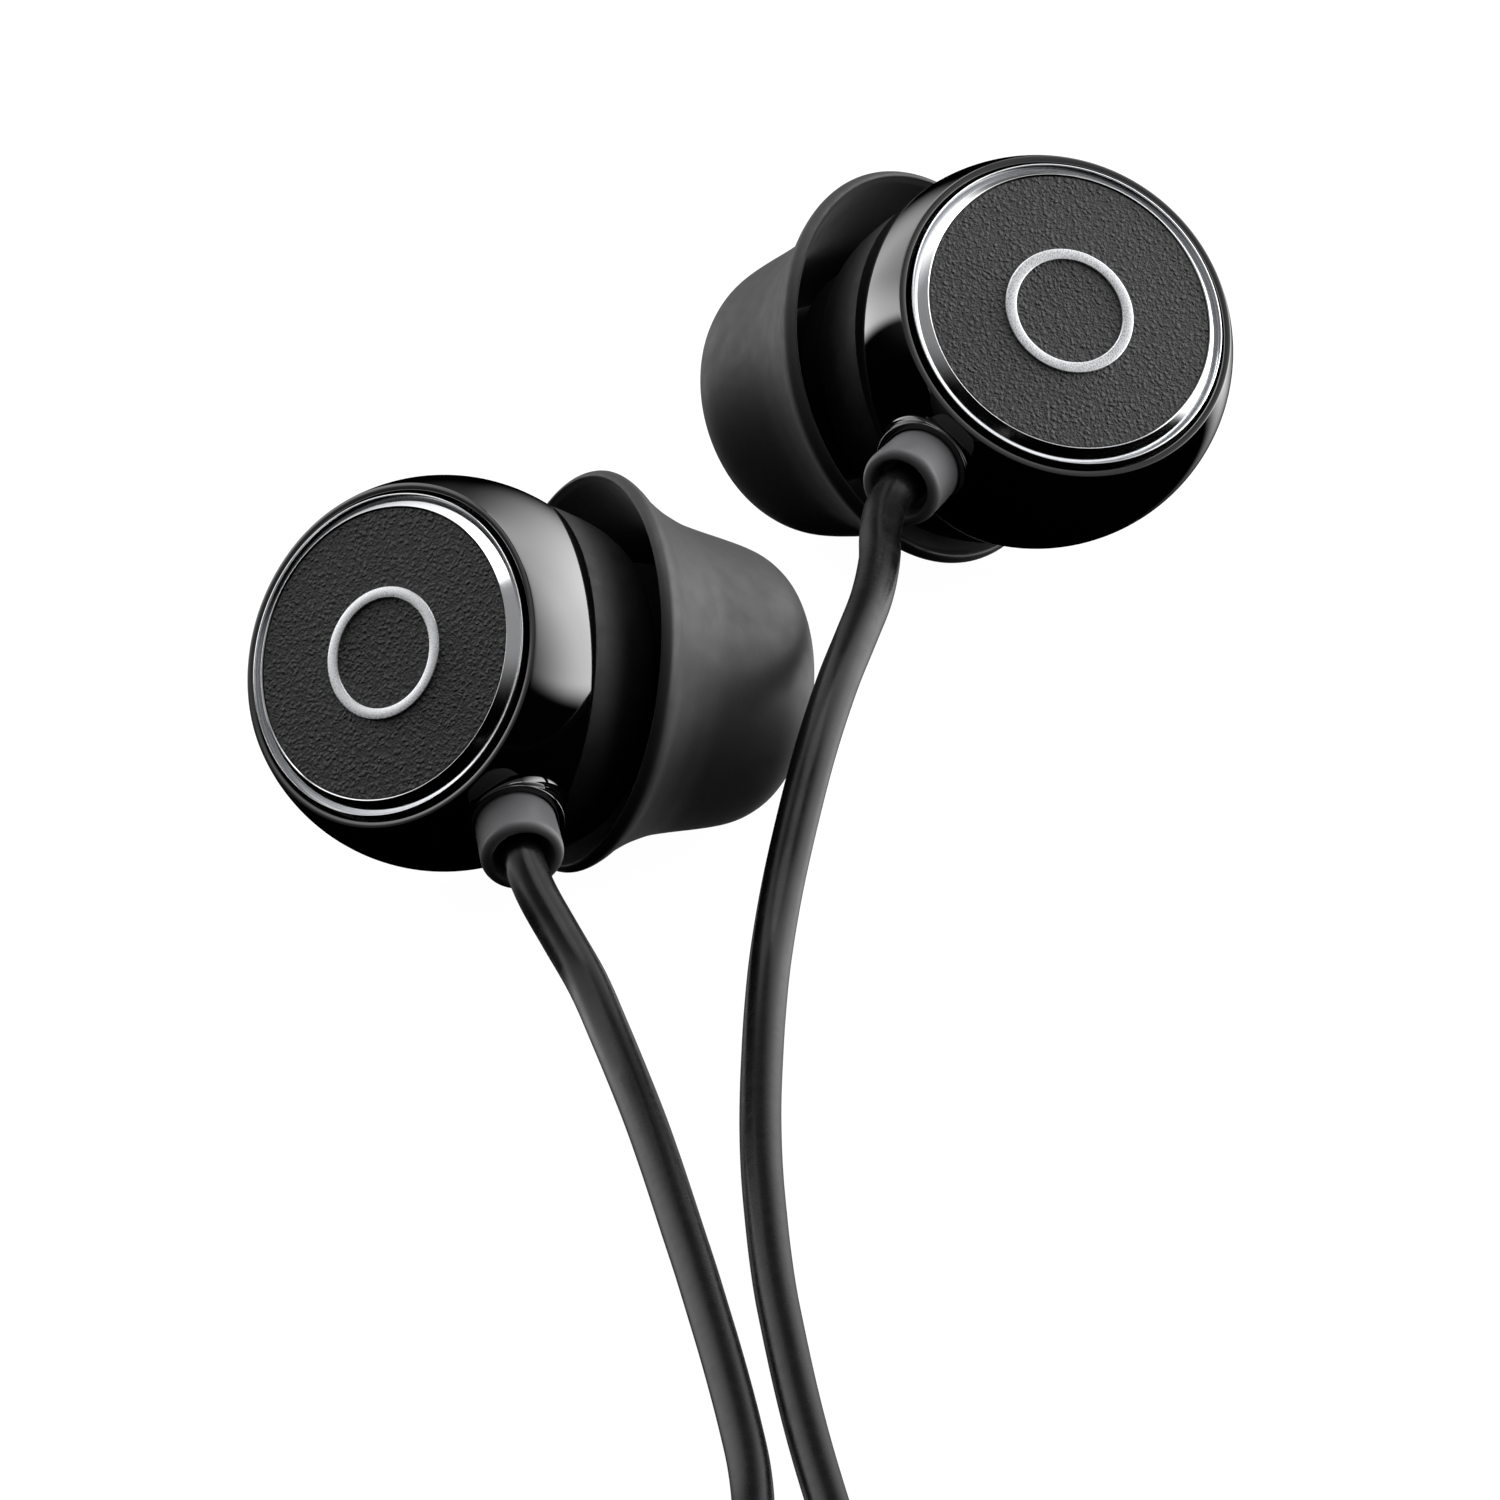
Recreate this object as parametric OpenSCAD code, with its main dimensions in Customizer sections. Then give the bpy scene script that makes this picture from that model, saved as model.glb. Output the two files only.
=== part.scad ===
// Wired in-ear earphones with a three-button remote and a 3.5 mm plug.
// Each earpiece is drawn in its own frame: its ball is centred on the origin, the sound nozzle
// points along +Z, and the cable leaves towards +Y. The left earpiece is the mirror image.

/* [Earpiece] */
// Radius of the round housing
ball_r = 7; // [6.5:0.1:8]
// Wall of the housing
wall = 0.8; // [0.6:0.1:1]
// Height of the seam between front and rear shell above the ball's centre
seam_z = 2.9; // [2.7:0.1:3.1]
// Angle between the face and the plane square to the nozzle
face_tilt = 29.3; // [20:0.1:35]
// Height of the flat face opening above the ball's centre
face_h = 3.25; // [3.1:0.05:3.4]
// Outer radius of the metal trim ring
trim_r = 5.8; // [5.6:0.05:5.85]
// Width of the metal trim ring
trim_w = 0.6; // [0.4:0.05:0.7]
// Outer radius of the emblem, a plain open circle
emblem_r = 2.4; // [1.5:0.1:3.5]

/* [Nozzle and ear tip] */
// Outer radius of the sound nozzle
nozzle_r = 2.4; // [2.2:0.05:2.45]
// Height of the nozzle's end above the ball's centre
nozzle_end = 12; // [11.6:0.1:12.1]
// Bore radius of the ear tip's stem
tip_bore_r = 2.6; // [2.58:0.01:2.7]
// Radius of the sound hole through the ear tip
tip_hole_r = 1.7; // [1.2:0.1:2]

/* [Cables] */
// Diameter of the cable from each earpiece to the splitter
ear_cord_d = 1.5; // [1.3:0.1:1.6]
// Diameter of the main cable
main_cord_d = 1.8; // [1.6:0.1:2]
// Thickness of the bands that tie the coils
tie_t = 0.4; // [0.3:0.1:0.6]

/* [Remote] */
// Length of the remote's case
remote_l = 34; // [30:1:36]
// Width of the remote's case
remote_w = 6.2; // [6:0.1:6.4]
// Height of the remote's case
remote_h = 4.6; // [4.4:0.1:5]
// Travel of each button
button_travel = 0.4; // [0.2:0.05:0.45]

/* [Plug] */
// Diameter of the plug's contacts
plug_d = 3.5; // [3.5:0.1:3.5]
// Length of the plug's contacts
plug_pin_l = 14; // [14:0.5:15]
// Diameter of the plug's moulded body
plug_body_d = 5.5; // [5:0.1:6]

/* [Hidden] */
$fn = 64;

// Colours
gloss_black = [0.03, 0.03, 0.035];
satin_black = [0.09, 0.09, 0.095];
rubber_grey = [0.24, 0.24, 0.25];
silicone = [0.2, 0.2, 0.21];
leather = [0.16, 0.16, 0.165];
silver = [0.78, 0.78, 0.8];
steel = [0.55, 0.56, 0.58];
brass = [0.85, 0.7, 0.4];

// Where each earpiece lies: centre of its ball, then heading, dip and roll of its nozzle
right_ball = [-10.54, -11.78, 8.02];
right_turn = [21.7, 110.7, -124];
left_ball = [10.54, 10.23, 8.26];
left_turn = [147.3, 112.7, 139.9];

// Axis of the nozzle, set off from the ball's centre away from the cable
nozzle_axis = [0.35, -0.5, 0];

// Cable inlet: direction from the ball's centre and direction in which the cable leaves
inlet_az = 59.1;
inlet_polar = 82.2;
cord_az = 51.3;
cord_polar = 99.1;
relief_r = 1.5;
relief_l = 2.4;
recess_r = 1.1;
recess_depth = 0.8;

module at_right() {
    translate(right_ball) rotate([0, 0, right_turn[0]]) rotate([0, right_turn[1], 0])
        rotate([0, 0, right_turn[2]]) children();
}

module at_left() {
    translate(left_ball) rotate([0, 0, left_turn[0]]) rotate([0, left_turn[1], 0])
        rotate([0, 0, left_turn[2]]) mirror([0, 1, 0]) children();
}

module on_face() {
    rotate([0, 180 - face_tilt, 0]) children();
}

module on_nozzle() {
    translate(nozzle_axis) children();
}

module on_inlet() {
    translate(ball_r * polar_dir(inlet_az, inlet_polar)) rotate([0, cord_polar, cord_az])
        children();
}

function polar_dir(az, polar) = [sin(polar) * cos(az), sin(polar) * sin(az), cos(polar)];

// ---- Earpiece ----

module front_shell() {
    lip = 0.5;
    color(gloss_black) difference() {
        union() {
            sphere(r = ball_r);
            on_inlet() translate([0, 0, -1.2]) cylinder(r = relief_r + 0.25, h = 1.2 + lip);
        }
        sphere(r = ball_r - wall);
        translate([0, 0, seam_z + ball_r]) cube(2 * ball_r, center = true);
        on_face() translate([0, 0, face_h]) cylinder(r = ball_r, h = ball_r);
        on_face() translate([0, 0, 2.25]) cylinder(r = trim_r + 0.15, h = ball_r);
        on_inlet() translate([0, 0, -3]) cylinder(r = relief_r, h = 3 + 2 * lip);
    }
}

module rear_shell() {
    seam_r = sqrt(ball_r * ball_r - seam_z * seam_z);
    color(satin_black) difference() {
        union() {
            rotate_extrude() polygon([
                [0, seam_z], [seam_r, seam_z], [6.22, 3.5], [5.95, 4.4], [5.6, 5.2], [5.2, 5.75],
                [4.6, 6.1], [4.15, 6.25], [0, 6.3]
            ]);
            on_nozzle() rotate_extrude() polygon([
                [0, 5], [4, 5], [4, 7.3], [3.7, 7.6], [nozzle_r, 7.6], [nozzle_r, nozzle_end - 0.9],
                [2.56, nozzle_end - 0.6], [2.56, nozzle_end - 0.3], [nozzle_r, nozzle_end],
                [0, nozzle_end]
            ]);
        }
        rotate_extrude() polygon([
            [0, seam_z - 1], [4.6, seam_z - 1], [4.6, 4], [3.9, 4], [3.9, 4.6], [1.5, 6.2], [0, 6.2]
        ]);
        on_nozzle() translate([0, 0, 5]) cylinder(r = 1.9, h = nozzle_end);
        on_nozzle() translate([0, 0, nozzle_end - 0.3]) cylinder(r = 2.1, h = 1);
    }
}

insert_top = 3.66;
emblem_sunk = 0.1;

module face_insert() {
    inner_r = trim_r - trim_w;
    color(leather) on_face() difference() {
        union() {
            translate([0, 0, 2.25]) cylinder(r = trim_r + 0.1, h = 0.35);
            translate([0, 0, 2.6]) cylinder(r = inner_r, h = insert_top - 2.6);
        }
        translate([0, 0, insert_top - emblem_sunk]) emblem_outline(1);
    }
}

module emblem_outline(h) {
    difference() {
        cylinder(r = emblem_r, h = h);
        translate([0, 0, -1]) cylinder(r = emblem_r - 0.42, h = h + 2);
    }
}

module emblem() {
    color(silver) on_face() translate([0, 0, insert_top - emblem_sunk]) emblem_outline(0.18);
}

module trim_ring() {
    inner_r = trim_r - trim_w;
    color(silver) on_face() rotate_extrude() polygon([
        [inner_r, 2.6], [trim_r, 2.6], [trim_r, 3.42], [trim_r - 0.08, 3.48], [trim_r - 0.15, 3.48],
        [inner_r + 0.05, 3.74], [inner_r, 3.72]
    ]);
}

module nozzle_mesh() {
    color(steel) on_nozzle() difference() {
        translate([0, 0, nozzle_end - 0.3]) cylinder(r = 2.1, h = 0.2);
        for (ring = [1, 2], i = [0 : 6 * ring - 1])
            rotate([0, 0, i * 60 / ring]) translate([0.7 * ring, 0, nozzle_end - 1])
                cylinder(r = 0.2, h = 2, $fn = 16);
    }
}

module nozzle_damper() {
    color([0.4, 0.4, 0.42]) on_nozzle() translate([0, 0, 8.2]) cylinder(r = 1.9, h = 2.6);
}

module driver_frame() {
    color(satin_black) rotate_extrude() polygon([
        [2.9, 2.45], [4.6, 2.45], [4.6, 4], [4.1, 4], [4.1, 2.8], [2.9, 2.8]
    ]);
}

module yoke() {
    color(steel) difference() {
        translate([0, 0, 0.5]) cylinder(r = 2.9, h = 2.3);
        translate([0, 0, 0.9]) cylinder(r = 2.45, h = 3);
    }
}

module magnet() {
    color([0.6, 0.6, 0.6]) translate([0, 0, 0.9]) cylinder(r = 1.9, h = 1.1);
}

module pole_plate() {
    color(steel) translate([0, 0, 2]) cylinder(r = 2, h = 0.5);
}

module voice_coil() {
    color([0.7, 0.35, 0.2]) difference() {
        translate([0, 0, 1.5]) cylinder(r = 2.3, h = 1.65);
        translate([0, 0, 1]) cylinder(r = 2.1, h = 3);
    }
}

module diaphragm() {
    color([0.75, 0.75, 0.7]) rotate_extrude() polygon([
        [0, 3.55], [1.2, 3.42], [2.1, 3.15], [2.3, 3.15], [3.1, 3.3], [3.95, 3.15],
        [3.95, 3.25], [3.1, 3.4], [2.3, 3.25], [1.2, 3.54], [0, 3.67]
    ]);
}

module cable_crimp() {
    color(brass) on_inlet() translate([0, 0, -2.3]) cylinder(r = 0.95, h = 1.1);
}

module strain_relief() {
    rim = 0.4;
    color(rubber_grey) on_inlet() rotate_extrude() polygon([
        [0, -1.2], [relief_r, -1.2], [relief_r, relief_l - rim], [relief_r - 0.12, relief_l - 0.12],
        [relief_r - 0.3, relief_l], [recess_r, relief_l - 0.05], [recess_r - 0.1, relief_l - 0.25],
        [recess_r - 0.1, relief_l - recess_depth], [0, relief_l - recess_depth]
    ]);
}

module ear_tip() {
    color(silicone) on_nozzle() rotate_extrude() polygon([
        [7, 5.02], [7.11, 5.2], [7.12, 5.42], [6.95, 5.7], [6.58, 6.15], [6.12, 6.88], [5.82, 7.5],
        [5.57, 8.15], [5.37, 9], [5.19, 9.9], [5.02, 10.65], [4.84, 11.22], [4.6, 11.68],
        [4.25, 12.12], [3.75, 12.5], [3.1, 12.84], [2.4, 13.12], [tip_hole_r + 0.1, 13.34],
        [tip_hole_r, 13.25], [tip_hole_r, 12.4], [tip_bore_r, 12.3], [tip_bore_r, 8.2], [3.2, 8.2],
        [3.2, 11.85], [3.45, 12], [3.9, 11.68], [4.22, 11.28], [4.42, 10.8], [4.58, 10.2],
        [4.76, 9.3], [4.95, 8.3], [5.3, 7.35], [5.72, 6.6], [6.25, 5.85], [6.66, 5.2], [6.82, 5.02]
    ]);
}

// ---- Cables ----

function unit(v) = v / norm(v);
function heading(route, i) =
    unit(route[min(i + 1, len(route) - 1)] - route[max(i - 1, 0)]);

// Ring of points round the route at point i, in the plane square to it
function cord_ring(route, i, d, sides) =
    let (t = heading(route, i), side = unit(cross(t, [0, 0, 1])), up = cross(side, t))
    [for (s = [0 : sides - 1]) route[i] + d / 2 * (cos(360 * s / sides - 90) * side
        + sin(360 * s / sides - 90) * up)];

module cord(route, d, sides) {
    n = len(route);
    points = [for (i = [0 : n - 1]) each cord_ring(route, i, d, sides)];
    walls = [for (i = [0 : n - 2], s = [0 : sides - 1], half = [0, 1])
        let (a = i * sides + s, b = i * sides + (s + 1) % sides)
        half == 0 ? [a, b, b + sides] : [a, b + sides, a + sides]];
    first = [for (s = [1 : sides - 2]) [0, s + 1, s]];
    last = [for (s = [1 : sides - 2]) (n - 1) * sides * [1, 1, 1] + [0, s, s + 1]];
    color(satin_black) polyhedron(points, concat(walls, first, last), convexity = 10);
}

// Turns spent spiralling in, less those spiralling out, after t turns
function spiral(t, per_layer, layers) =
    let (layer = min(floor(t / per_layer), layers - 1), u = t - layer * per_layer,
         lead = layer == 0 ? 0 : 0.25, tail = layer == layers - 1 ? 0 : 0.25,
         run = min(max(u - lead, 0), per_layer - lead - tail),
         way = layer % 2 == 0 ? 1 : -1)
    (layer == 0 ? 0 : spiral(layer * per_layer - 0.0001, per_layer, layers)) + way * run;

// Layers climbed after t turns, each in the half turn where the spiral reverses
function climb(t, per_layer, layers) =
    let (k = min(max(round(t / per_layer), 1), layers - 1),
         u = min(max((t - k * per_layer + 0.25) / 0.5, 0), 1))
    k - 1 + u * u * (3 - 2 * u);

// coil = [centre, outer radius, pitch, rise, turns per layer, layers, start angle, way, cord d]
function coil_point(c, t) =
    let (a = c[6] + c[7] * 360 * t, r = c[1] - c[2] * spiral(t, c[4], c[5]))
    c[0] + [r * cos(a), r * sin(a), c[3] * climb(t, c[4], c[5])];

function coil_heading(c, t) =
    let (a = c[6] + c[7] * 360 * t) c[7] * [-sin(a), cos(a), 0];

function coil_route(c) =
    let (turns = c[4] * c[5])
    concat([coil_point(c, 0) - c[8] * coil_heading(c, 0)],
        [for (i = [0 : 24 * turns]) coil_point(c, i / 24)],
        [coil_point(c, turns) + c[8] * coil_heading(c, turns)]);

// Least gap between points of a coil that are at least half a turn apart
function coil_gap(c) =
    let (r = coil_route(c))
    min([for (i = [0 : len(r) - 13]) min([for (j = [i + 12 : len(r) - 1]) norm(r[i] - r[j])])]) - c[8];

// Coils of spare cable, lying on their ties
right_coil = [[-11.4, -127.25, ear_cord_d / 2 + tie_t], 10.8, 2.3, 2, 2, 2, 0, -1, ear_cord_d];
left_coil = [[14.1, -94.25, ear_cord_d / 2 + tie_t], 9.9, 2.3, 2, 2, 2, 180, 1, ear_cord_d];
main_coil = [[14.8, -160.25, main_cord_d / 2 + tie_t], 13.9, 2.6, 2.3, 3.125, 4, 180, 1, main_cord_d];

function coil_start(c) = coil_route(c)[0];
function coil_end(c) = coil_route(c)[len(coil_route(c)) - 1];

// Where each cable leaves its earpiece
function turned(v, turn, way) =
    let (w = [v[0], way * v[1], v[2]], r = turn[2], p = turn[1], h = turn[0],
         a = [w[0] * cos(r) - w[1] * sin(r), w[0] * sin(r) + w[1] * cos(r), w[2]],
         b = [a[0] * cos(p) + a[2] * sin(p), a[1], a[2] * cos(p) - a[0] * sin(p)])
    [b[0] * cos(h) - b[1] * sin(h), b[0] * sin(h) + b[1] * cos(h), b[2]];

cord_dir = polar_dir(cord_az, cord_polar);
function inlet_point(s) = ball_r * polar_dir(inlet_az, inlet_polar) + s * cord_dir;
right_exit = right_ball + turned(inlet_point(relief_l - recess_depth), right_turn, 1);
left_exit = left_ball + turned(inlet_point(relief_l - recess_depth), left_turn, -1);
right_dir = turned(cord_dir, right_turn, 1);
left_dir = turned(cord_dir, left_turn, -1);

// Remote, splitter and plug, where they lie
remote_at = [-0.6, -95.25, 0];
remote_mid = remote_h / 2;
relief_out = 3;
splitter_at = [0.9, -141.75, 2.5];
splitter_l = 11;
splitter_gap = 3;
plug_at = [28.7, -118.75, plug_body_d / 2];
plug_body_l = 14;
plug_relief_l = 8;

// Routes of the free cable
low = ear_cord_d / 2;
right_upper_route = [
    right_exit, right_exit + right_dir, [-7.66, -21.53, 3.69], [-6.93, -23.16, 2.79],
    [-6.05, -25.32, 1.86], [-5.32, -28.18, 1.15], [-4.66, -31.45, 0.8], [-4.12, -34.65, low],
    [-3.64, -37.85, low], [-3.19, -41.05, low], [-2.75, -44.25, low], [-2.32, -47.35, low],
    [-1.92, -50.45, low], [-1.5, -53.75, low], [-1.12, -56.95, low], [-0.77, -60.15, low],
    [-0.47, -63.35, low], [-0.32, -66.45, low], [-0.33, -69.35, 1], [-0.45, -72.25, 1.7],
    remote_at + [0, remote_l / 2 + relief_out, remote_mid]
];
right_lower_route = [
    remote_at + [0, -remote_l / 2 - relief_out, remote_mid], [-0.6, -117.25, 2.2], [-0.6, -120.25, 1.7],
    [-0.6, -123.25, 1.25], coil_start(right_coil)
];
right_end_route = [
    coil_end(right_coil), [-0.6, -131.25, 3], [-0.6, -133.75, 2.7],
    splitter_at + [-splitter_gap / 2, splitter_l / 2, 0]
];
left_route = [
    left_exit, left_exit + left_dir, [4.99, 0.89, 6.92], [4.82, -1.06, 6.94], [4.8, -3.62, 7.08],
    [4.52, -7.15, 7.26], [3.97, -10.25, 7.24], [3.25, -13.25, 6.86], [2.4, -16.32, 5.85],
    [1.62, -18.83, 4.42], [0.92, -21.35, 2.95], [0.4, -24.25, 1.75], [0.14, -27.35, 1.14],
    [0.01, -30.45, 0.85], [-0.06, -33.75, low], [-0.06, -36.95, low], [0, -40.15, low],
    [0.12, -43.35, low], [0.27, -46.55, low], [0.47, -49.75, low], [0.74, -52.95, low],
    [1.03, -56.15, low], [1.35, -59.35, low], [1.71, -62.55, low], [2.11, -65.75, low],
    [2.54, -68.95, low], [2.98, -72.15, low], [3.4, -75.45, low], [3.76, -78.85, low],
    [4.01, -82.25, low], [4.14, -85.65, 0.82], [4.19, -89.15, 1.05], coil_start(left_coil)
];
left_end_route = [
    coil_end(left_coil), [4.2, -99.25, 2.6], [4.2, -102.75, 1.7], [4.2, -106.25, 1], [4.2, -110.25, low],
    [4.2, -114.25, low], [4.2, -118.25, low], [4.2, -121.75, low],
    [4, -125.25, 0.8], [3.4, -129.25, 1.3], [2.7, -133.25, 2.2],
    splitter_at + [splitter_gap / 2, splitter_l / 2, 0]
];
main_start_route = [
    splitter_at + [0, -splitter_l / 2, 0], [0.9, -149.75, 2.4], [0.9, -152.75, 1.9],
    [0.9, -155.75, 1.45], coil_start(main_coil)
];
main_end_route = [
    coil_end(main_coil), [28.7, -155.75, 7.7], [28.7, -151.75, 6.3], [28.7, -147.75, 4.4],
    [28.7, -144.25, 3.2], plug_at + [0, -plug_body_l - plug_relief_l, 0]
];

function route_length(r) = len(r) < 2 ? 0
    : norm(r[1] - r[0]) + route_length([for (i = [1 : len(r) - 1]) r[i]]);
echo(right_branch = route_length(right_upper_route) + remote_l + 2 * relief_out
    + route_length(right_lower_route) + route_length(coil_route(right_coil))
    + route_length(right_end_route));
echo(left_branch = route_length(left_route) + route_length(coil_route(left_coil))
    + route_length(left_end_route));
echo(main_cable = route_length(main_start_route) + route_length(coil_route(main_coil))
    + route_length(main_end_route));
echo(least_gap_right_coil = coil_gap(right_coil));
echo(least_gap_left_coil = coil_gap(left_coil));
echo(least_gap_main_coil = coil_gap(main_coil));

// Two bands round a coil, a quarter turn to each side of its leads
module ties(c) {
    w = 2.5;
    slack = 0.1;
    r_in = c[1] - c[2] * (c[4] - 0.25) - c[8] / 2 - slack;
    r_out = c[1] + c[8] / 2 + slack;
    h = c[8] + (c[5] - 1) * c[3] + slack;
    color(satin_black) for (side = [90, 270])
        translate([c[0][0], c[0][1], 0]) rotate([0, 0, c[6] + side]) difference() {
            translate([r_in - tie_t, -w / 2, 0]) cube([r_out - r_in + 2 * tie_t, w, h + 2 * tie_t]);
            translate([r_in, -w, tie_t]) cube([r_out - r_in, 2 * w, h]);
        }
}

// ---- Remote ----

module slot_outline(l, r) {
    square([2 * r, l - 2 * r], center = true);
    for (end = [-1, 1]) translate([0, end * (l / 2 - r)]) circle(r = r);
}

module slot_block(l, r, z0, z1) {
    translate([0, 0, z0]) linear_extrude(z1 - z0) slot_outline(l, r);
}

module on_remote() {
    translate(remote_at) children();
}

// Both cable entries, as cylinders lying along the remote
module remote_entries(r, inside, outside) {
    for (end = [0, 180]) rotate([0, 0, end]) translate([0, remote_l / 2 - inside, remote_mid])
        rotate([-90, 0, 0]) cylinder(r = r, h = inside + outside);
}

remote_wall = 0.7;
entry_r = 1.1;
button_pitch = 8;
button_r = 1.8;
board_t = 0.8;

module remote_rear_shell() {
    color(gloss_black) on_remote() difference() {
        slot_block(remote_l, remote_w / 2, 0, remote_mid);
        slot_block(remote_l - 2 * remote_wall, remote_w / 2 - remote_wall, remote_wall, remote_h);
        remote_entries(entry_r, 2, 1);
    }
}

module remote_front_shell() {
    color(gloss_black) on_remote() difference() {
        slot_block(remote_l, remote_w / 2, remote_mid, remote_h);
        slot_block(remote_l - 2 * remote_wall, remote_w / 2 - remote_wall, 0, remote_h - remote_wall);
        remote_entries(entry_r, 2, 1);
        for (i = [-1 : 1]) translate([0, i * button_pitch, 0])
            cylinder(r = button_r + 0.1, h = 2 * remote_h);
        translate([0, 12.8, 0]) cylinder(r = 0.4, h = 2 * remote_h);
    }
}

module remote_button(i) {
    low_z = remote_wall + board_t + 0.8 + button_travel + 0.05;
    color(satin_black) on_remote() translate([0, i * button_pitch, 0]) {
        translate([0, 0, low_z]) cylinder(r = button_r + 0.4, h = 0.5);
        translate([0, 0, low_z]) cylinder(r = button_r, h = remote_h + button_travel + 0.05 - low_z);
    }
}

module remote_board() {
    color([0.1, 0.3, 0.18]) on_remote()
        slot_block(remote_l - 4, remote_w / 2 - remote_wall - 0.1, remote_wall, remote_wall + board_t);
}

module remote_switches() {
    color(steel) on_remote() for (i = [-1 : 1])
        translate([0, i * button_pitch, remote_wall + board_t]) cylinder(r = 1.5, h = 0.8);
}

module remote_microphone() {
    color(steel) on_remote() translate([0, 12.8, remote_wall + board_t]) cylinder(r = 0.9, h = 1);
}

module remote_strain_reliefs() {
    color(rubber_grey) on_remote() for (end = [0, 180]) rotate([0, 0, end])
        translate([0, remote_l / 2, remote_mid]) rotate([-90, 0, 0]) rotate_extrude() polygon([
            [0, -1.2], [entry_r, -1.2], [entry_r, 0.2], [entry_r + 0.2, 0.2], [entry_r + 0.1, 1.2],
            [0.95, relief_out], [0, relief_out]
        ]);
}

// ---- Splitter and plug ----

module splitter() {
    r = splitter_at[2];
    half_w = 0.8;
    color(gloss_black) translate(splitter_at) rotate([-90, 0, 0]) {
        for (side = [-1, 1]) translate([side * half_w, 0, 0])
            cylinder(r = r, h = splitter_l, center = true);
        cube([2 * half_w, 2 * r, splitter_l], center = true);
    }
}

module on_plug() {
    translate(plug_at) rotate([-90, 0, 0]) children();
}

module plug_body() {
    r = plug_body_d / 2;
    color(gloss_black) on_plug() rotate_extrude() polygon([
        [0, -plug_body_l], [r - 0.5, -plug_body_l], [r, -plug_body_l + 0.5], [r, -0.8], [r - 0.3, -0.5],
        [r - 0.3, 0], [0, 0]
    ]);
}

module plug_strain_relief() {
    color(rubber_grey) on_plug() rotate_extrude() polygon([
        [0, -plug_body_l - plug_relief_l], [main_cord_d / 2 + 0.25, -plug_body_l - plug_relief_l],
        [main_cord_d / 2 + 0.8, -plug_body_l], [0, -plug_body_l]
    ]);
}

ring_l = 2;
band_l = 0.6;
sleeve_l = 4.6;

module contact(z, l) {
    color(silver) on_plug() translate([0, 0, z]) cylinder(r = plug_d / 2, h = l);
}

module plug_sleeve() {
    contact(0, sleeve_l);
}

module plug_rings() {
    for (i = [0, 1]) contact(sleeve_l + band_l + i * (ring_l + band_l), ring_l);
}

module plug_insulators() {
    color(satin_black) on_plug() for (i = [0 : 2])
        translate([0, 0, sleeve_l + i * (ring_l + band_l)]) cylinder(r = plug_d / 2, h = band_l);
}

module plug_tip() {
    r = plug_d / 2;
    z = sleeve_l + 3 * band_l + 2 * ring_l;
    color(silver) on_plug() rotate_extrude() polygon([
        [0, z], [r, z], [r, z + 0.5], [1.15, z + 1.4], [1.15, z + 1.6], [1.62, z + 2.2],
        [1.6, z + 2.6], [0.9, plug_pin_l - 0.1], [0.6, plug_pin_l], [0, plug_pin_l]
    ]);
}

// ---- Pieces ----

at_right() face_insert();  // right_face_insert
at_right() emblem();  // right_emblem
at_right() trim_ring();  // right_trim_ring
at_right() front_shell();  // right_front_shell
at_right() rear_shell();  // right_rear_shell
at_right() nozzle_mesh();  // right_nozzle_mesh
at_right() nozzle_damper();  // right_nozzle_damper
at_right() driver_frame();  // right_driver_frame
at_right() magnet();  // right_magnet
at_right() pole_plate();  // right_pole_plate
at_right() yoke();  // right_yoke
at_right() voice_coil();  // right_voice_coil
at_right() diaphragm();  // right_diaphragm
at_right() cable_crimp();  // right_cable_crimp
at_right() strain_relief();  // right_strain_relief
at_right() ear_tip();  // right_ear_tip
at_left() face_insert();  // left_face_insert
at_left() emblem();  // left_emblem
at_left() trim_ring();  // left_trim_ring
at_left() front_shell();  // left_front_shell
at_left() rear_shell();  // left_rear_shell
at_left() nozzle_mesh();  // left_nozzle_mesh
at_left() nozzle_damper();  // left_nozzle_damper
at_left() driver_frame();  // left_driver_frame
at_left() magnet();  // left_magnet
at_left() pole_plate();  // left_pole_plate
at_left() yoke();  // left_yoke
at_left() voice_coil();  // left_voice_coil
at_left() diaphragm();  // left_diaphragm
at_left() cable_crimp();  // left_cable_crimp
at_left() strain_relief();  // left_strain_relief
at_left() ear_tip();  // left_ear_tip
cord(right_upper_route, ear_cord_d, 8);  // right_cable_upper
cord(right_lower_route, ear_cord_d, 8);  // right_cable_lower
cord(coil_route(right_coil), ear_cord_d, 6);
cord(right_end_route, ear_cord_d, 8);  // right_cable_end
cord(left_route, ear_cord_d, 8);  // left_cable
cord(coil_route(left_coil), ear_cord_d, 6);
cord(left_end_route, ear_cord_d, 8);  // left_cable_end
cord(main_start_route, main_cord_d, 8);  // main_cable_start
cord(coil_route(main_coil), main_cord_d, 6);
cord(main_end_route, main_cord_d, 8);  // main_cable_end
for (c = [right_coil, left_coil, main_coil]) ties(c);  // coil_ties
remote_rear_shell();
remote_front_shell();
remote_button(1);  // remote_button_plus
remote_button(0);  // remote_button_centre
remote_button(-1);  // remote_button_minus
remote_board();
remote_switches();
remote_microphone();
remote_strain_reliefs();
splitter();
plug_body();
plug_strain_relief();
plug_sleeve();
plug_rings();
plug_tip();
plug_insulators();
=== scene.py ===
import math

import bmesh
import bpy
from mathutils import Matrix, Quaternion, Vector


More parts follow.
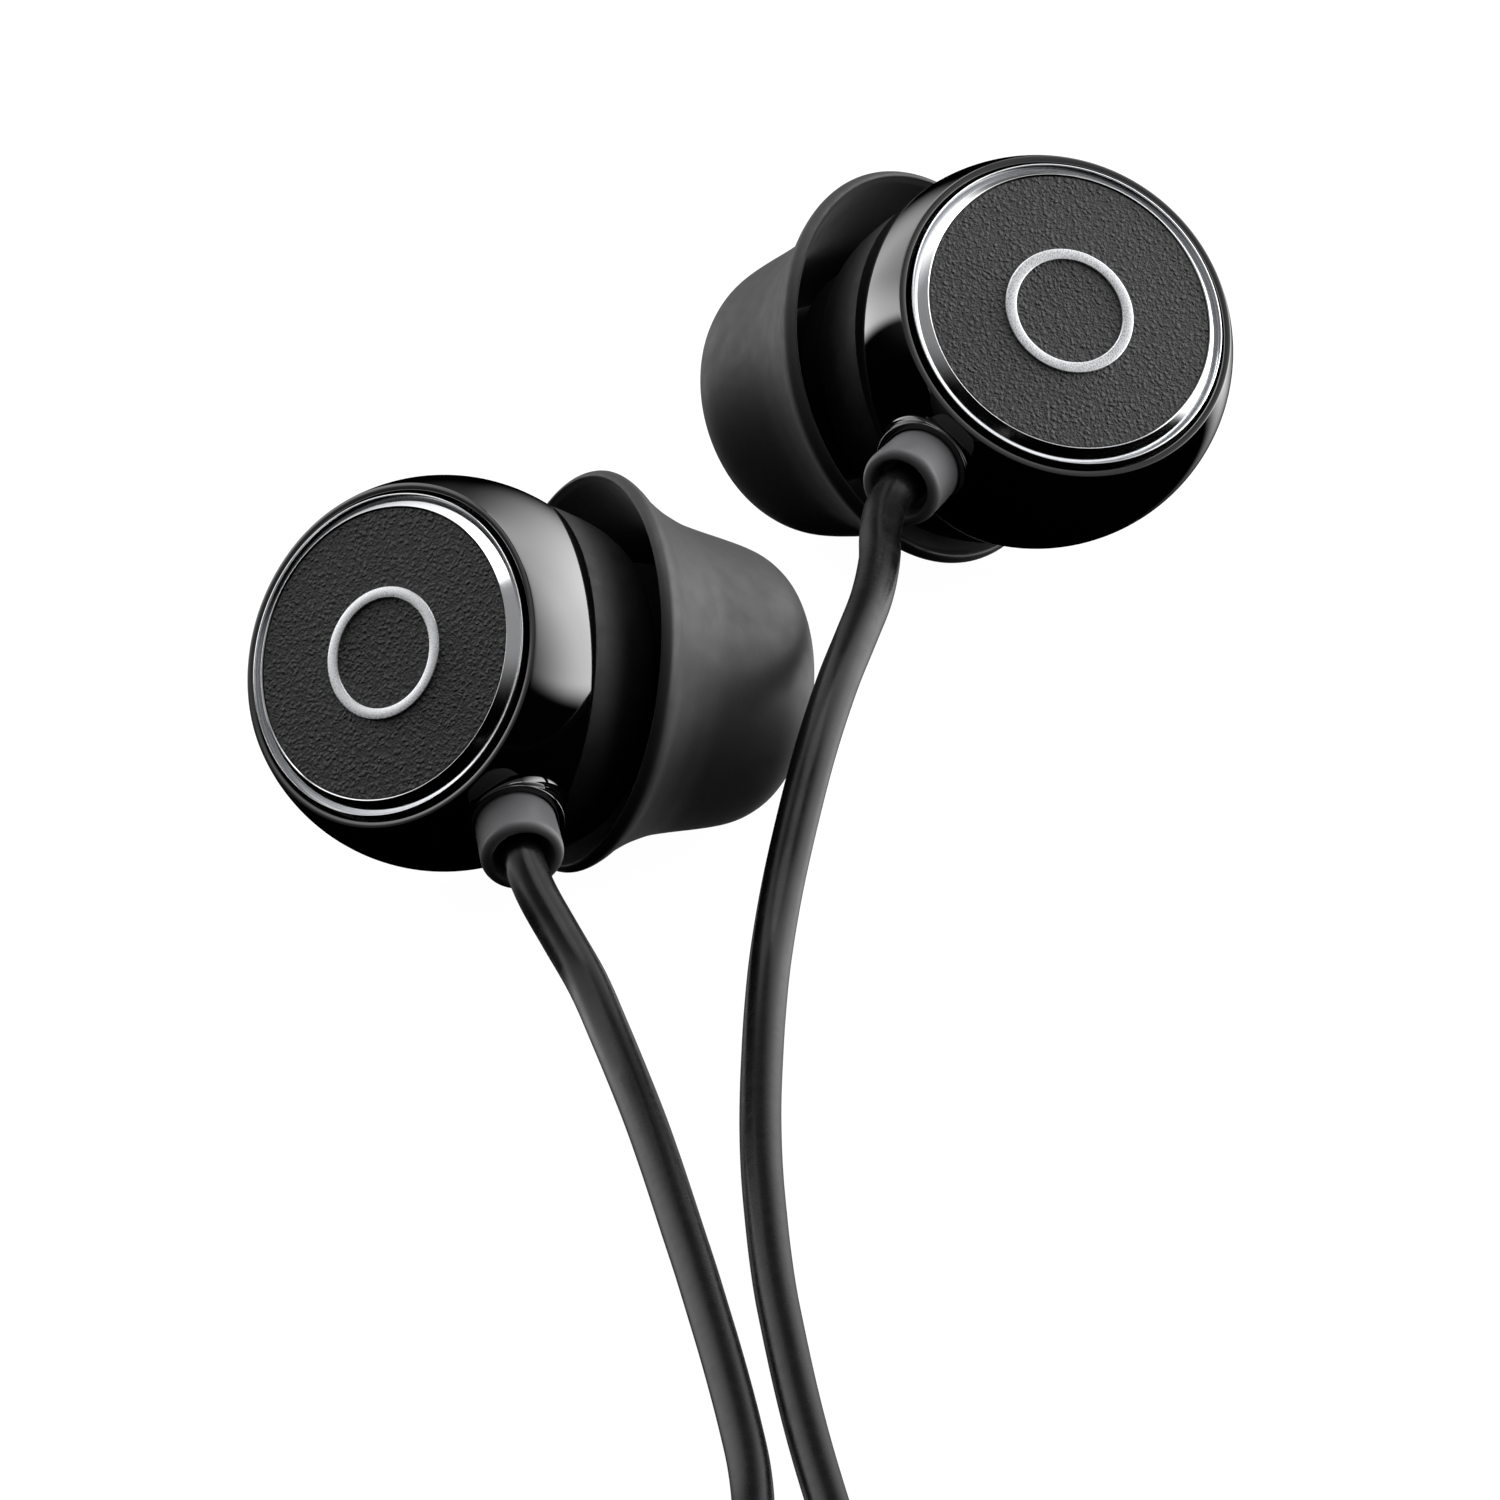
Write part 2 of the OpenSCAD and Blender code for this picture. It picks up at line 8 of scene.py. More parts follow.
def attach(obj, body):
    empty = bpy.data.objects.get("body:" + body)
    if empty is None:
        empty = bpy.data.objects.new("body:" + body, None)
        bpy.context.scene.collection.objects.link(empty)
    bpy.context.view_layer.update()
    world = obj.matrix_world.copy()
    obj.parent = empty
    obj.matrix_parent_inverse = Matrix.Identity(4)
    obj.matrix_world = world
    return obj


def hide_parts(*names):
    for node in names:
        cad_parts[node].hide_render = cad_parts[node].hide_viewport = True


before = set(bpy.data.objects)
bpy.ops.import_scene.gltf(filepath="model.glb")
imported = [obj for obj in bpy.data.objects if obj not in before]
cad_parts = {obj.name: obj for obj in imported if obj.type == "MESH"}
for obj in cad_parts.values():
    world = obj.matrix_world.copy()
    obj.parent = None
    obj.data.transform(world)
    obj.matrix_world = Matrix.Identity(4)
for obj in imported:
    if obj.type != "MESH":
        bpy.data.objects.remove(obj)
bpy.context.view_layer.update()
scene = bpy.context.scene
mm = 0.001
print("frame loaded")


def hexColour(code, alpha=1.0):  # sRGB hex to the linear values that the shader wants
    parts = [int(code[i:i + 2], 16) / 255 for i in (1, 3, 5)]
    return [c / 12.92 if c <= 0.04045 else ((c + 0.055) / 1.055) ** 2.4 for c in parts] + [alpha]


def addNode(tree, kind, links=(), **settings):  # links are (input, output socket or value)
    node = tree.nodes.new(kind)
    for name, value in settings.items():
        setattr(node, name, value)
    for name, value in links:
        if isinstance(value, bpy.types.NodeSocket):
            tree.links.new(value, node.inputs[name])
        else:
            node.inputs[name].default_value = value
    return node


def newMaterial(name, colour, **sockets):
    material = bpy.data.materials.new(name)
    material.use_nodes = True
    shader = material.node_tree.nodes["Principled BSDF"]
    shader.inputs["Base Color"].default_value = hexColour(colour)
    for socket, value in sockets.items():
        shader.inputs[socket.replace("_", " ")].default_value = value
    return material, material.node_tree, shader


# Camera: long lens, the earpieces seen from a little above the table

cameraSet = {"target": (-0.51 * mm, -3.23 * mm, 0), "azimuth": 2.68, "elevation": 24.88,
             "roll": 6.34, "distance": 2.4, "frameWidth": 53.1 * mm, "sensor": 36,
             "clip": (0.1, 50)}


def makeCamera(values):
    azimuth, elevation = math.radians(values["azimuth"]), math.radians(values["elevation"])
    back = Vector((math.sin(azimuth) * math.cos(elevation),
                   -math.cos(azimuth) * math.cos(elevation), math.sin(elevation)))
    data = bpy.data.cameras.new("camera")
    data.sensor_width = values["sensor"]
    data.lens = values["sensor"] * values["distance"] / values["frameWidth"]
    data.clip_start, data.clip_end = values["clip"]
    camera = bpy.data.objects.new("camera", data)
    scene.collection.objects.link(camera)
    camera.rotation_mode = "QUATERNION"
    camera.rotation_quaternion = (-back).to_track_quat("-Z", "Y") @ Quaternion(
        (0, 0, 1), -math.radians(values["roll"]))
    camera.location = Vector(values["target"]) + back * values["distance"]
    scene.camera = camera
    return camera


camera = makeCamera(cameraSet)
print("camera placed")

# Earpieces: where each lies, and the frames of its face and its cable inlet

earSet = {
    "ballRadius": 7, "wall": 0.8, "seam": 2.9, "faceTilt": 29.3, "nozzleAxis": (0.35, -0.5, 0),
    "inletAzimuth": 59.1, "inletPolar": 82.2, "cordAzimuth": 51.3, "cordPolar": 99.1,
    "reliefLength": 2.4, "recessDepth": 0.8,
    "right": {"ball": (-10.54, -11.78, 8.02), "turn": (21.7, 110.7, -124), "mirror": 1},
    "left": {"ball": (10.54, 10.23, 8.26), "turn": (147.3, 112.7, 139.9), "mirror": -1},
}


def turnMatrix(axis, degrees):
    return Matrix.Rotation(math.radians(degrees), 4, axis)


def polar(azimuth, angle):
    a, p = math.radians(azimuth), math.radians(angle)
    return Vector((math.sin(p) * math.cos(a), math.sin(p) * math.sin(a), math.cos(p)))


def earMatrix(side):
    place = earSet[side]
    heading, dip, roll = place["turn"]
    return (Matrix.Translation(place["ball"]) @ turnMatrix("Z", heading)
            @ turnMatrix("Y", dip) @ turnMatrix("Z", roll)
            @ Matrix.Diagonal((1, place["mirror"], 1, 1)))


nozzleMatrix = Matrix.Translation(earSet["nozzleAxis"])
faceMatrix = turnMatrix("Y", 180 - earSet["faceTilt"])
inletPoint = earSet["ballRadius"] * polar(earSet["inletAzimuth"], earSet["inletPolar"])
inletMatrix = (Matrix.Translation(inletPoint) @ turnMatrix("Z", earSet["cordAzimuth"])
               @ turnMatrix("Y", earSet["cordPolar"]))

# Cables: the same routes as the solids', here in mm; the spare cable is wound in tied coils

cableSet = {
    "earDiameter": 1.5, "mainDiameter": 1.8, "tie": 0.4, "turnPoints": 24,
    "remoteTop": (-0.6, -75.25, 2.3), "remoteBottom": (-0.6, -115.25, 2.3),
    "splitterRight": (-0.6, -136.25, 2.5), "splitterLeft": (2.4, -136.25, 2.5),
    "splitterMain": (0.9, -147.25, 2.5), "plugEnd": (28.7, -140.75, 2.75),
    "rightCoil": {"centre": (-11.4, -127.25, 1.15), "radius": 10.8, "pitch": 2.3, "rise": 2,
                  "perLayer": 2, "layers": 2, "start": 0, "way": -1, "diameter": 1.5},
    "leftCoil": {"centre": (14.1, -94.25, 1.15), "radius": 9.9, "pitch": 2.3, "rise": 2,
                 "perLayer": 2, "layers": 2, "start": 180, "way": 1, "diameter": 1.5},
    "mainCoil": {"centre": (14.8, -160.25, 1.3), "radius": 13.9, "pitch": 2.6, "rise": 2.3,
                 "perLayer": 3.125, "layers": 4, "start": 180, "way": 1, "diameter": 1.8},
    "shift": 0.25,  # part of a turn that a change of layer takes on each side
}


def spiral(t, perLayer, layers):  # turns inwards after t turns in all
    total = 0
    for layer in range(layers):
        lead = 0 if layer == 0 else cableSet["shift"]
        tail = 0 if layer == layers - 1 else cableSet["shift"]
        run = min(max(t - layer * perLayer - lead, 0), perLayer - lead - tail)
        total += run if layer % 2 == 0 else -run
    return total


def climb(t, perLayer, layers):  # layers up after t turns, eased at each change
    shift = cableSet["shift"]
    k = min(max(round(t / perLayer), 1), layers - 1)
    u = min(max((t - k * perLayer + shift) / (2 * shift), 0), 1)
    return k - 1 + u * u * (3 - 2 * u)


def coilHeading(coil, t):
    a = math.radians(coil["start"] + coil["way"] * 360 * t)
    return coil["way"] * Vector((-math.sin(a), math.cos(a), 0))


def coilPoint(coil, t):
    a = math.radians(coil["start"] + coil["way"] * 360 * t)
    r = coil["radius"] - coil["pitch"] * spiral(t, coil["perLayer"], coil["layers"])
    rise = coil["rise"] * climb(t, coil["perLayer"], coil["layers"])
    return Vector(coil["centre"]) + Vector((r * math.cos(a), r * math.sin(a), rise))


def coilRoute(coil):
    turns = coil["perLayer"] * coil["layers"]
    steps = round(cableSet["turnPoints"] * turns)
    points = [coilPoint(coil, i * turns / steps) for i in range(steps + 1)]
    return ([points[0] - coil["diameter"] * coilHeading(coil, 0)] + points
            + [points[-1] + coil["diameter"] * coilHeading(coil, turns)])


def exitOf(side):  # where the cable leaves its strain relief, and its heading there
    length = earSet["reliefLength"] - earSet["recessDepth"]
    start, ahead = [earMatrix(side) @ (inletMatrix @ Vector((0, 0, along)))
                    for along in (length, length + 1)]
    return start, (ahead - start).normalized()


def routeOf(points):
    return [Vector(p) * mm for p in points]


low = cableSet["earDiameter"] / 2
rightExit, rightHeading = exitOf("right")
leftExit, leftHeading = exitOf("left")
rightUpperRoute = routeOf([
    rightExit, rightExit + rightHeading, (-7.66, -21.53, 3.69), (-6.93, -23.16, 2.79),
    (-6.05, -25.32, 1.86), (-5.32, -28.18, 1.15), (-4.66, -31.45, 0.8), (-4.12, -34.65, low),
    (-3.64, -37.85, low), (-3.19, -41.05, low), (-2.75, -44.25, low), (-2.32, -47.35, low),
    (-1.92, -50.45, low), (-1.5, -53.75, low), (-1.12, -56.95, low), (-0.77, -60.15, low),
    (-0.47, -63.35, low), (-0.32, -66.45, low), (-0.33, -69.35, 1), (-0.45, -72.25, 1.7),
    cableSet["remoteTop"]])
rightLowerRoute = routeOf(
    [cableSet["remoteBottom"], (-0.6, -117.25, 2.2), (-0.6, -120.25, 1.7), (-0.6, -123.25, 1.25)]
    + coilRoute(cableSet["rightCoil"])
    + [(-0.6, -131.25, 3), (-0.6, -133.75, 2.7), cableSet["splitterRight"]])
leftRoute = routeOf([
    leftExit, leftExit + leftHeading, (4.99, 0.89, 6.92), (4.82, -1.06, 6.94),
    (4.8, -3.62, 7.08), (4.52, -7.15, 7.26), (3.97, -10.25, 7.24), (3.25, -13.25, 6.86),
    (2.4, -16.32, 5.85), (1.62, -18.83, 4.42), (0.92, -21.35, 2.95), (0.4, -24.25, 1.75),
    (0.14, -27.35, 1.14), (0.01, -30.45, 0.85), (-0.06, -33.75, low), (-0.06, -36.95, low),
    (0, -40.15, low), (0.12, -43.35, low), (0.27, -46.55, low), (0.47, -49.75, low),
    (0.74, -52.95, low), (1.03, -56.15, low), (1.35, -59.35, low), (1.71, -62.55, low),
    (2.11, -65.75, low), (2.54, -68.95, low), (2.98, -72.15, low), (3.4, -75.45, low),
    (3.76, -78.85, low), (4.01, -82.25, low), (4.14, -85.65, 0.82), (4.19, -89.15, 1.05)]
    + coilRoute(cableSet["leftCoil"])
    + [(4.2, -99.25, 2.6), (4.2, -102.75, 1.7), (4.2, -106.25, 1), (4.2, -110.25, low),
       (4.2, -114.25, low), (4.2, -118.25, low), (4.2, -121.75, low), (4, -125.25, 0.8),
       (3.4, -129.25, 1.3), (2.7, -133.25, 2.2), cableSet["splitterLeft"]])
mainRoute = routeOf(
    [cableSet["splitterMain"], (0.9, -149.75, 2.4), (0.9, -152.75, 1.9), (0.9, -155.75, 1.45)]
    + coilRoute(cableSet["mainCoil"])
    + [(28.7, -155.75, 7.7), (28.7, -151.75, 6.3), (28.7, -147.75, 4.4), (28.7, -144.25, 3.2),
       cableSet["plugEnd"]])


def makeCable(name, route, diameter):
    data = bpy.data.curves.new(name, "CURVE")
    data.dimensions = "3D"
    data.bevel_depth = 1  # the thickness is each point's radius, so that the bounds are right
    data.bevel_resolution = 6
    data.resolution_u = 6
    data.render_resolution_u = 6
    data.use_fill_caps = True
    line = data.splines.new("BEZIER")
    line.bezier_points.add(len(route) - 1)
    for i, point in enumerate(route):
        knot = line.bezier_points[i]
        before, after = route[max(i - 1, 0)], route[min(i + 1, len(route) - 1)]
        heading = (after - before).normalized()
        knot.handle_left_type = knot.handle_right_type = "FREE"
        knot.co, knot.radius = point, diameter / 2 * mm
        knot.handle_left = point - heading * (point - before).length / 3
        knot.handle_right = point + heading * (after - point).length / 3
    cable = bpy.data.objects.new(name, data)
    scene.collection.objects.link(cable)
    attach(cable, "earphones")
    return cable


ear, main = cableSet["earDiameter"], cableSet["mainDiameter"]
rightUpper = makeCable("right_ear_cable", rightUpperRoute, ear)
rightLower = makeCable("right_spare_cable", rightLowerRoute, ear)
leftCable = makeCable("left_ear_cable", leftRoute, ear)
mainCable = makeCable("main_plug_cable", mainRoute, main)
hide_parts("right_cable_upper")
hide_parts("right_cable_lower", "right_coil", "right_cable_end")
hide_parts("left_cable", "left_coil", "left_cable_end")
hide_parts("main_cable_start", "main_coil", "main_cable_end")
print("cables laid")

# Materials: each pattern sits on Object coordinates turned to millimetres


def millimetres(tree, scale=(1, 1, 1)):
    coordinates = addNode(tree, "ShaderNodeTexCoord")
    return addNode(tree, "ShaderNodeMapping", [
        ("Vector", coordinates.outputs["Object"]), ("Scale", [s / mm for s in scale])]).outputs[0]


def noise(tree, vector, size, detail=2, roughness=0.5):  # size in mm
    return addNode(tree, "ShaderNodeTexNoise", [
        ("Vector", vector), ("Scale", 1 / size), ("Detail", detail),
        ("Roughness", roughness)]).outputs["Fac"]


def spread(tree, value, low, high, first=0.0, last=1.0):
    return addNode(tree, "ShaderNodeMapRange", [
        ("Value", value), ("From Min", low), ("From Max", high), ("To Min", first),
        ("To Max", last)]).outputs[0]


def blendColours(tree, factor, first, second):
    node = addNode(tree, "ShaderNodeMix", data_type="RGBA")
    tree.links.new(factor, node.inputs[0])
    for socket, code in ((node.inputs[6], first), (node.inputs[7], second)):
        socket.default_value = hexColour(code)
    return node.outputs[2]


def varyColour(tree, shader, pattern, first, last):
    tree.links.new(blendColours(tree, pattern, first, last), shader.inputs["Base Color"])


def varyRoughness(tree, shader, pattern, first, last, low=0.3, high=0.7):
    tree.links.new(spread(tree, pattern, low, high, first, last), shader.inputs["Roughness"])


def addRelief(tree, shader, height, depth):  # depth in mm
    bump = addNode(tree, "ShaderNodeBump", [("Height", height), ("Distance", depth * mm)])
    tree.links.new(bump.outputs[0], shader.inputs["Normal"])


def makeLacquer():  # piano-black lacquer on moulded ABS: deep black, mirror-like, faint orange peel
    material, tree, shader = newMaterial("piano_black_lacquer", "#040405", Roughness=0.05, IOR=1.5)
    shader.inputs["Coat Weight"].default_value = 1
    shader.inputs["Coat Roughness"].default_value = 0.03
    where = millimetres(tree)
    varyRoughness(tree, shader, noise(tree, where, 1.5, 3), 0.035, 0.075)
    addRelief(tree, shader, noise(tree, where, 0.9, 1), 0.0008)
    return material


def makeSatinAbs(name="satin_moulded_abs", first="#0c0c0d", last="#131314", rough=(0.5, 0.62)):
    # spark-eroded mould texture: an even fine grit that spreads the highlight
    material, tree, shader = newMaterial(name, first, IOR=1.42)
    where = millimetres(tree)
    varyColour(tree, shader, noise(tree, where, 2, 4), first, last)
    varyRoughness(tree, shader, noise(tree, where, 0.6, 3), *rough)
    addRelief(tree, shader, noise(tree, where, 0.07, 2), 0.006)
    return material


grainSet = {"pebble": 0.19, "smooth": 0.2, "wander": 0.22, "fine": 0.09, "fineShare": 0.6,
            "depth": 0.08, "crest": (0.4, 1.5)}


def makeGrainedVinyl():  # embossed leather grain: raised pebbles 0.2 mm across catch the light, with a painted highlight on their crests and painted shade in the hollows between them
    material, tree, shader = newMaterial("embossed_grained_vinyl", "#1d1d1e", Roughness=0.42,
                                         IOR=1.5)
    where = millimetres(tree)
    wander = addNode(tree, "ShaderNodeTexNoise", [
        ("Vector", where), ("Scale", 3.0), ("Detail", 2.0)]).outputs["Color"]
    moved = addNode(tree, "ShaderNodeVectorMath", [
        (0, wander), (1, [grainSet["wander"]] * 3)], operation="MULTIPLY").outputs[0]
    moved = addNode(tree, "ShaderNodeVectorMath", [(0, where), (1, moved)],
                    operation="ADD").outputs[0]
    pebbles = addNode(tree, "ShaderNodeTexVoronoi", [
        ("Vector", moved), ("Scale", 1 / grainSet["pebble"]), ("Smoothness", grainSet["smooth"])],
        feature="SMOOTH_F1").outputs["Distance"]
    fine = noise(tree, where, grainSet["fine"], 3, 0.6)
    height = addNode(tree, "ShaderNodeMath", [
        (0, spread(tree, pebbles, 0.05, 0.55, 1, 0)),
        (1, spread(tree, fine, 0.3, 0.7, 0, grainSet["fineShare"]))], operation="ADD").outputs[0]
    # painted highlight and shade: the base colour goes lighter on the pebble crests and darker in
    # the hollows, following the grain's height
    varyColour(tree, shader, spread(tree, height, *grainSet["crest"]), "#0c0c0d", "#2a2a2b")
    varyRoughness(tree, shader, height, 0.5, 0.28, *grainSet["crest"])
    addRelief(tree, shader, height, grainSet["depth"])
    return material


def makeChrome():  # polished chrome on brass: bright, with the faintest haze of handling
    material, tree, shader = newMaterial("polished_chrome_plate", "#d9dadc", Metallic=1)
    where = millimetres(tree)
    varyRoughness(tree, shader, noise(tree, where, 1.2, 4), 0.1, 0.17)
    addRelief(tree, shader, noise(tree, where, 0.12, 2), 0.0004)
    return material


def makeBrushed():  # brushed aluminium: fine straight scratches about 0.05 mm apart
    material, tree, shader = newMaterial("brushed_aluminium", "#c9cacc", Metallic=1)
    where = millimetres(tree, (1, 0.06, 1))
    lines = noise(tree, where, 0.05, 3, 0.7)
    varyColour(tree, shader, lines, "#b4b5b8", "#dcdddf")
    varyRoughness(tree, shader, lines, 0.2, 0.36, 0.25, 0.75)
    addRelief(tree, shader, lines, 0.002)
    return material


def makeRubber(name, dark, light, rough, grit, depth, sheen=0.0, ior=1.45):
    # rubber from a fine-blasted mould: matt, with a soft bloom that varies over millimetres
    material, tree, shader = newMaterial(name, dark, IOR=ior)
    shader.inputs["Sheen Weight"].default_value = sheen
    shader.inputs["Sheen Roughness"].default_value = 0.4
    where = millimetres(tree)
    varyColour(tree, shader, noise(tree, where, 3, 4), dark, light)
    varyRoughness(tree, shader, noise(tree, where, 0.7, 4), rough - 0.05, rough + 0.05)
    addRelief(tree, shader, noise(tree, where, grit, 3, 0.6), depth)
    return material


def makeMetal(name, dark, light, rough, size=0.4):
    # plated, rolled or stamped metal: bright, with faint patches where it has gone duller
    material, tree, shader = newMaterial(name, light, Metallic=1)
    where = millimetres(tree)
    varyColour(tree, shader, noise(tree, where, size, 4), dark, light)
    varyRoughness(tree, shader, noise(tree, where, size / 3, 3), rough * 0.8, rough * 1.2)
    addRelief(tree, shader, noise(tree, where, 0.1, 2), 0.001)
    return material


glossyLacquer = makeLacquer()
satinAbs = makeSatinAbs()
grainedVinyl = makeGrainedVinyl()
polishedChrome = makeChrome()
brushedAluminium = makeBrushed()
mouldedTpe = makeRubber("moulded_tpe_boot", "#535355", "#5d5d5f", 0.46, 0.09, 0.004, 0.1)
mouldedSilicone = makeRubber("moulded_silicone", "#1c1c1d", "#232324", 0.55, 0.12, 0.004, 0.12)
cableTpe = makeRubber("extruded_tpe_jacket", "#050506", "#080809", 0.26, 0.3, 0.002, ior=1.26)
tieRubber = makeRubber("silicone_tie_band", "#1b1b1c", "#222223", 0.5, 0.15, 0.004)
damperFoam = makeRubber("open_cell_foam", "#3c3c3e", "#5a5a5c", 0.9, 0.25, 0.08)
diaphragmFilm = makeRubber("clear_pet_film", "#9a9a92", "#b2b2aa", 0.2, 0.5, 0.002)
glassEpoxy = makeRubber("green_glass_epoxy", "#12402a", "#1a5236", 0.35, 0.3, 0.004)
markInk = makeSatinAbs("pad_printed_grey_ink", "#a9aaac", "#b4b5b7", (0.4, 0.5))
insulatorNylon = makeSatinAbs("black_nylon_insulator", "#0d0d0e", "#151516", (0.3, 0.4))
driverPbt = makeSatinAbs("black_pbt_frame", "#161617", "#202021", (0.4, 0.5))
buttonAbs = makeSatinAbs("satin_abs_key", "#18181a", "#222224", (0.4, 0.5))
stainlessSteel = makeMetal("stamped_stainless_steel", "#a5a6a8", "#b9babc", 0.3)
nickelMagnet = makeMetal("nickel_plated_neodymium", "#9c9a94", "#b4b2ab", 0.22)
softIron = makeMetal("zinc_plated_soft_iron", "#8f9296", "#a6a9ad", 0.35)
copperWire = makeMetal("enamelled_copper_wire", "#8c4420", "#b56034", 0.3, 0.1)
crimpBrass = makeMetal("rolled_brass", "#a8873f", "#c6a455", 0.28)
nickelPlate = makeMetal("nickel_plated_brass", "#b9b7b0", "#cfcdc6", 0.16, 1)


# Earpieces: outlines are (radius, height) in mm, with a third number where a corner is rounded


def roundCorners(outline, segments=5):
    made = []
    for i, corner in enumerate(outline):
        here = Vector(corner[:2])
        before = (Vector(outline[i - 1][:2]) - here).normalized()
        after = (Vector(outline[(i + 1) % len(outline)][:2]) - here).normalized()
        if len(corner) < 3 or (before + after).length < 0.01:
            made.append(here)
            continue
        half = before.angle(after) / 2
        centre = here + (before + after).normalized() * corner[2] / math.sin(half)
        first = here + before * corner[2] / math.tan(half) - centre
        last = here + after * corner[2] / math.tan(half) - centre
        turn = math.copysign(first.angle(last), first.cross(last))
        for k in range(segments + 1):
            made.append(centre + Matrix.Rotation(turn * k / segments, 2) @ first)
    return made


def smoothLine(points, steps=4):  # Catmull-Rom through the points
    points = [Vector(p) for p in points]
    padded = [2 * points[0] - points[1]] + points + [2 * points[-1] - points[-2]]
    made = []
    for p0, p1, p2, p3 in zip(padded, padded[1:], padded[2:], padded[3:]):
        for k in range(steps):
            t = k / steps
            made.append(0.5 * (2 * p1 + (p2 - p0) * t + (2 * p0 - 5 * p1 + 4 * p2 - p3) * t ** 2
                               + (3 * p1 - p0 - 3 * p2 + p3) * t ** 3))
    return made + [points[-1]]


def arc(radius, first, last, steps):  # round the origin, angles in degrees from the axis
    angles = [math.radians(first + (last - first) * k / steps) for k in range(steps + 1)]
    return [Vector((radius * math.sin(a), radius * math.cos(a))) for a in angles]


def weld(bm, distance=0.0005):
    bmesh.ops.remove_doubles(bm, verts=bm.verts, dist=distance)


def turned(outline, closed=True, steps=160):
    bm = bmesh.new()
    points = [bm.verts.new((max(r, 0), 0, z)) for r, z in outline]
    pairs = list(zip(points, points[1:])) + ([(points[-1], points[0])] if closed else [])
    edges = [bm.edges.new(pair) for pair in pairs]
    bmesh.ops.spin(bm, geom=points + edges, cent=(0, 0, 0), axis=(0, 0, 1), angle=2 * math.pi,
                   steps=steps, use_merge=True)
    weld(bm)
    return bm


def finishPiece(name, bm, place, material, nodes=(), body="earphones", sharp=40):
    bmesh.ops.transform(bm, matrix=place, verts=bm.verts)
    bmesh.ops.recalc_face_normals(bm, faces=bm.faces)
    bmesh.ops.scale(bm, vec=(mm, mm, mm), verts=bm.verts)
    mesh = bpy.data.meshes.new(name)
    bm.to_mesh(mesh)
    bm.free()
    mesh.shade_smooth()
    mesh.set_sharp_from_angle(angle=math.radians(sharp))
    mesh.materials.append(material)
    piece = bpy.data.objects.new(name, mesh)
    scene.collection.objects.link(piece)
    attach(piece, body)
    if nodes:
        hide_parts(*nodes)
    return piece


frontShellSet = {"rimLevel": 3.25, "opening": 5.95, "rimRound": 0.05, "seamRound": 0.03,
                 "seamGap": 0.02, "cutWeld": 0.01, "steps": 224}


def makeFrontShell(side):  # a turned ball, cut off level for the rear shell
    outer = earSet["ballRadius"]
    inner = outer - earSet["wall"]
    rim, opening = frontShellSet["rimLevel"], frontShellSet["opening"]
    rimAngle = math.degrees(math.acos(rim / outer))
    openingAngle = math.degrees(math.asin(opening / inner))
    lip = roundCorners([(opening, 0), (opening, rim, frontShellSet["rimRound"]),
                        (outer * math.sin(math.radians(rimAngle)), rim, frontShellSet["rimRound"]),
                        tuple(arc(outer, rimAngle + 4, rimAngle + 5, 1)[0])])[1:-1]
    outline = lip + arc(outer, rimAngle + 1, 180, 110) + arc(inner, 180, openingAngle, 60)
    bm = turned(outline, steps=frontShellSet["steps"])
    bmesh.ops.transform(bm, matrix=faceMatrix, verts=bm.verts)
    seam = earSet["seam"] - frontShellSet["seamGap"]
    bmesh.ops.bisect_plane(bm, geom=bm.verts[:] + bm.edges[:] + bm.faces[:], dist=0.0001,
                           plane_co=(0, 0, seam), plane_no=(0, 0, 1), clear_outer=True)
    weld(bm, frontShellSet["cutWeld"])
    bmesh.ops.bridge_loops(bm, edges=[e for e in bm.edges if e.is_boundary])
    edges = [e for e in bm.edges if all(abs(v.co.z - seam) < 0.001 and v.co.xy.length > inner
                                        for v in e.verts)]
    bmesh.ops.bevel(bm, geom=edges, offset=frontShellSet["seamRound"], segments=3, profile=0.5,
                    affect="EDGES", material=-1)
    finishPiece(side + "_ball_shell", bm, earMatrix(side), glossyLacquer,
                [side + "_front_shell"])


collarSet = {"radius": 1.75, "bore": 1.5, "height": 0.5, "foot": -1, "round": 0.07,
             "boreRound": 0.05, "flare": 0.3, "rows": 10, "rowPitch": 0.1, "upright": 0.08,
             "sunk": 0.004}


def makeCollar(side):
    top, bore, radius = collarSet["height"], collarSet["bore"], collarSet["radius"]
    foot, rows, pitch = collarSet["foot"], collarSet["rows"], collarSet["rowPitch"]
    lip = roundCorners([(bore, foot), (bore, top, collarSet["boreRound"]),
                        (radius, top, collarSet["round"]), (radius, foot)])[1:-1]
    flare = [Vector((radius, top - pitch - pitch * k)) for k in range(rows + 1)]
    bm = turned([Vector((bore, foot))] + lip + flare, steps=96)
    centre = inletMatrix.inverted() @ Vector((0, 0, 0))
    ball = earSet["ballRadius"] - collarSet["sunk"]

    def surfaceLevel(direction, radius):
        away = direction * radius - centre.xy
        return centre.z + math.sqrt(ball ** 2 - away.length_squared)

    for vert in bm.verts:  # the flare runs out into the ball all round
        direction = vert.co.xy.normalized()
        row = round((top - pitch - vert.co.z) / pitch)
        if row < 0 or row > rows or vert.co.xy.length < radius - 0.001:
            continue
        reach = collarSet["flare"]
        edge = radius + reach
        level = surfaceLevel(direction, edge)
        slope = (level - surfaceLevel(direction, edge - 0.01)) / 0.01
        elbow = level - slope * reach
        start = min(elbow + reach, top - collarSet["upright"])
        t = row / rows
        r = (1 - t) ** 2 * radius + 2 * t * (1 - t) * radius + t * t * edge
        z = (1 - t) ** 2 * start + 2 * t * (1 - t) * elbow + t * t * level
        vert.co = (direction.x * r, direction.y * r, z)
    finishPiece(side + "_inlet_collar", bm, earMatrix(side) @ inletMatrix, glossyLacquer)


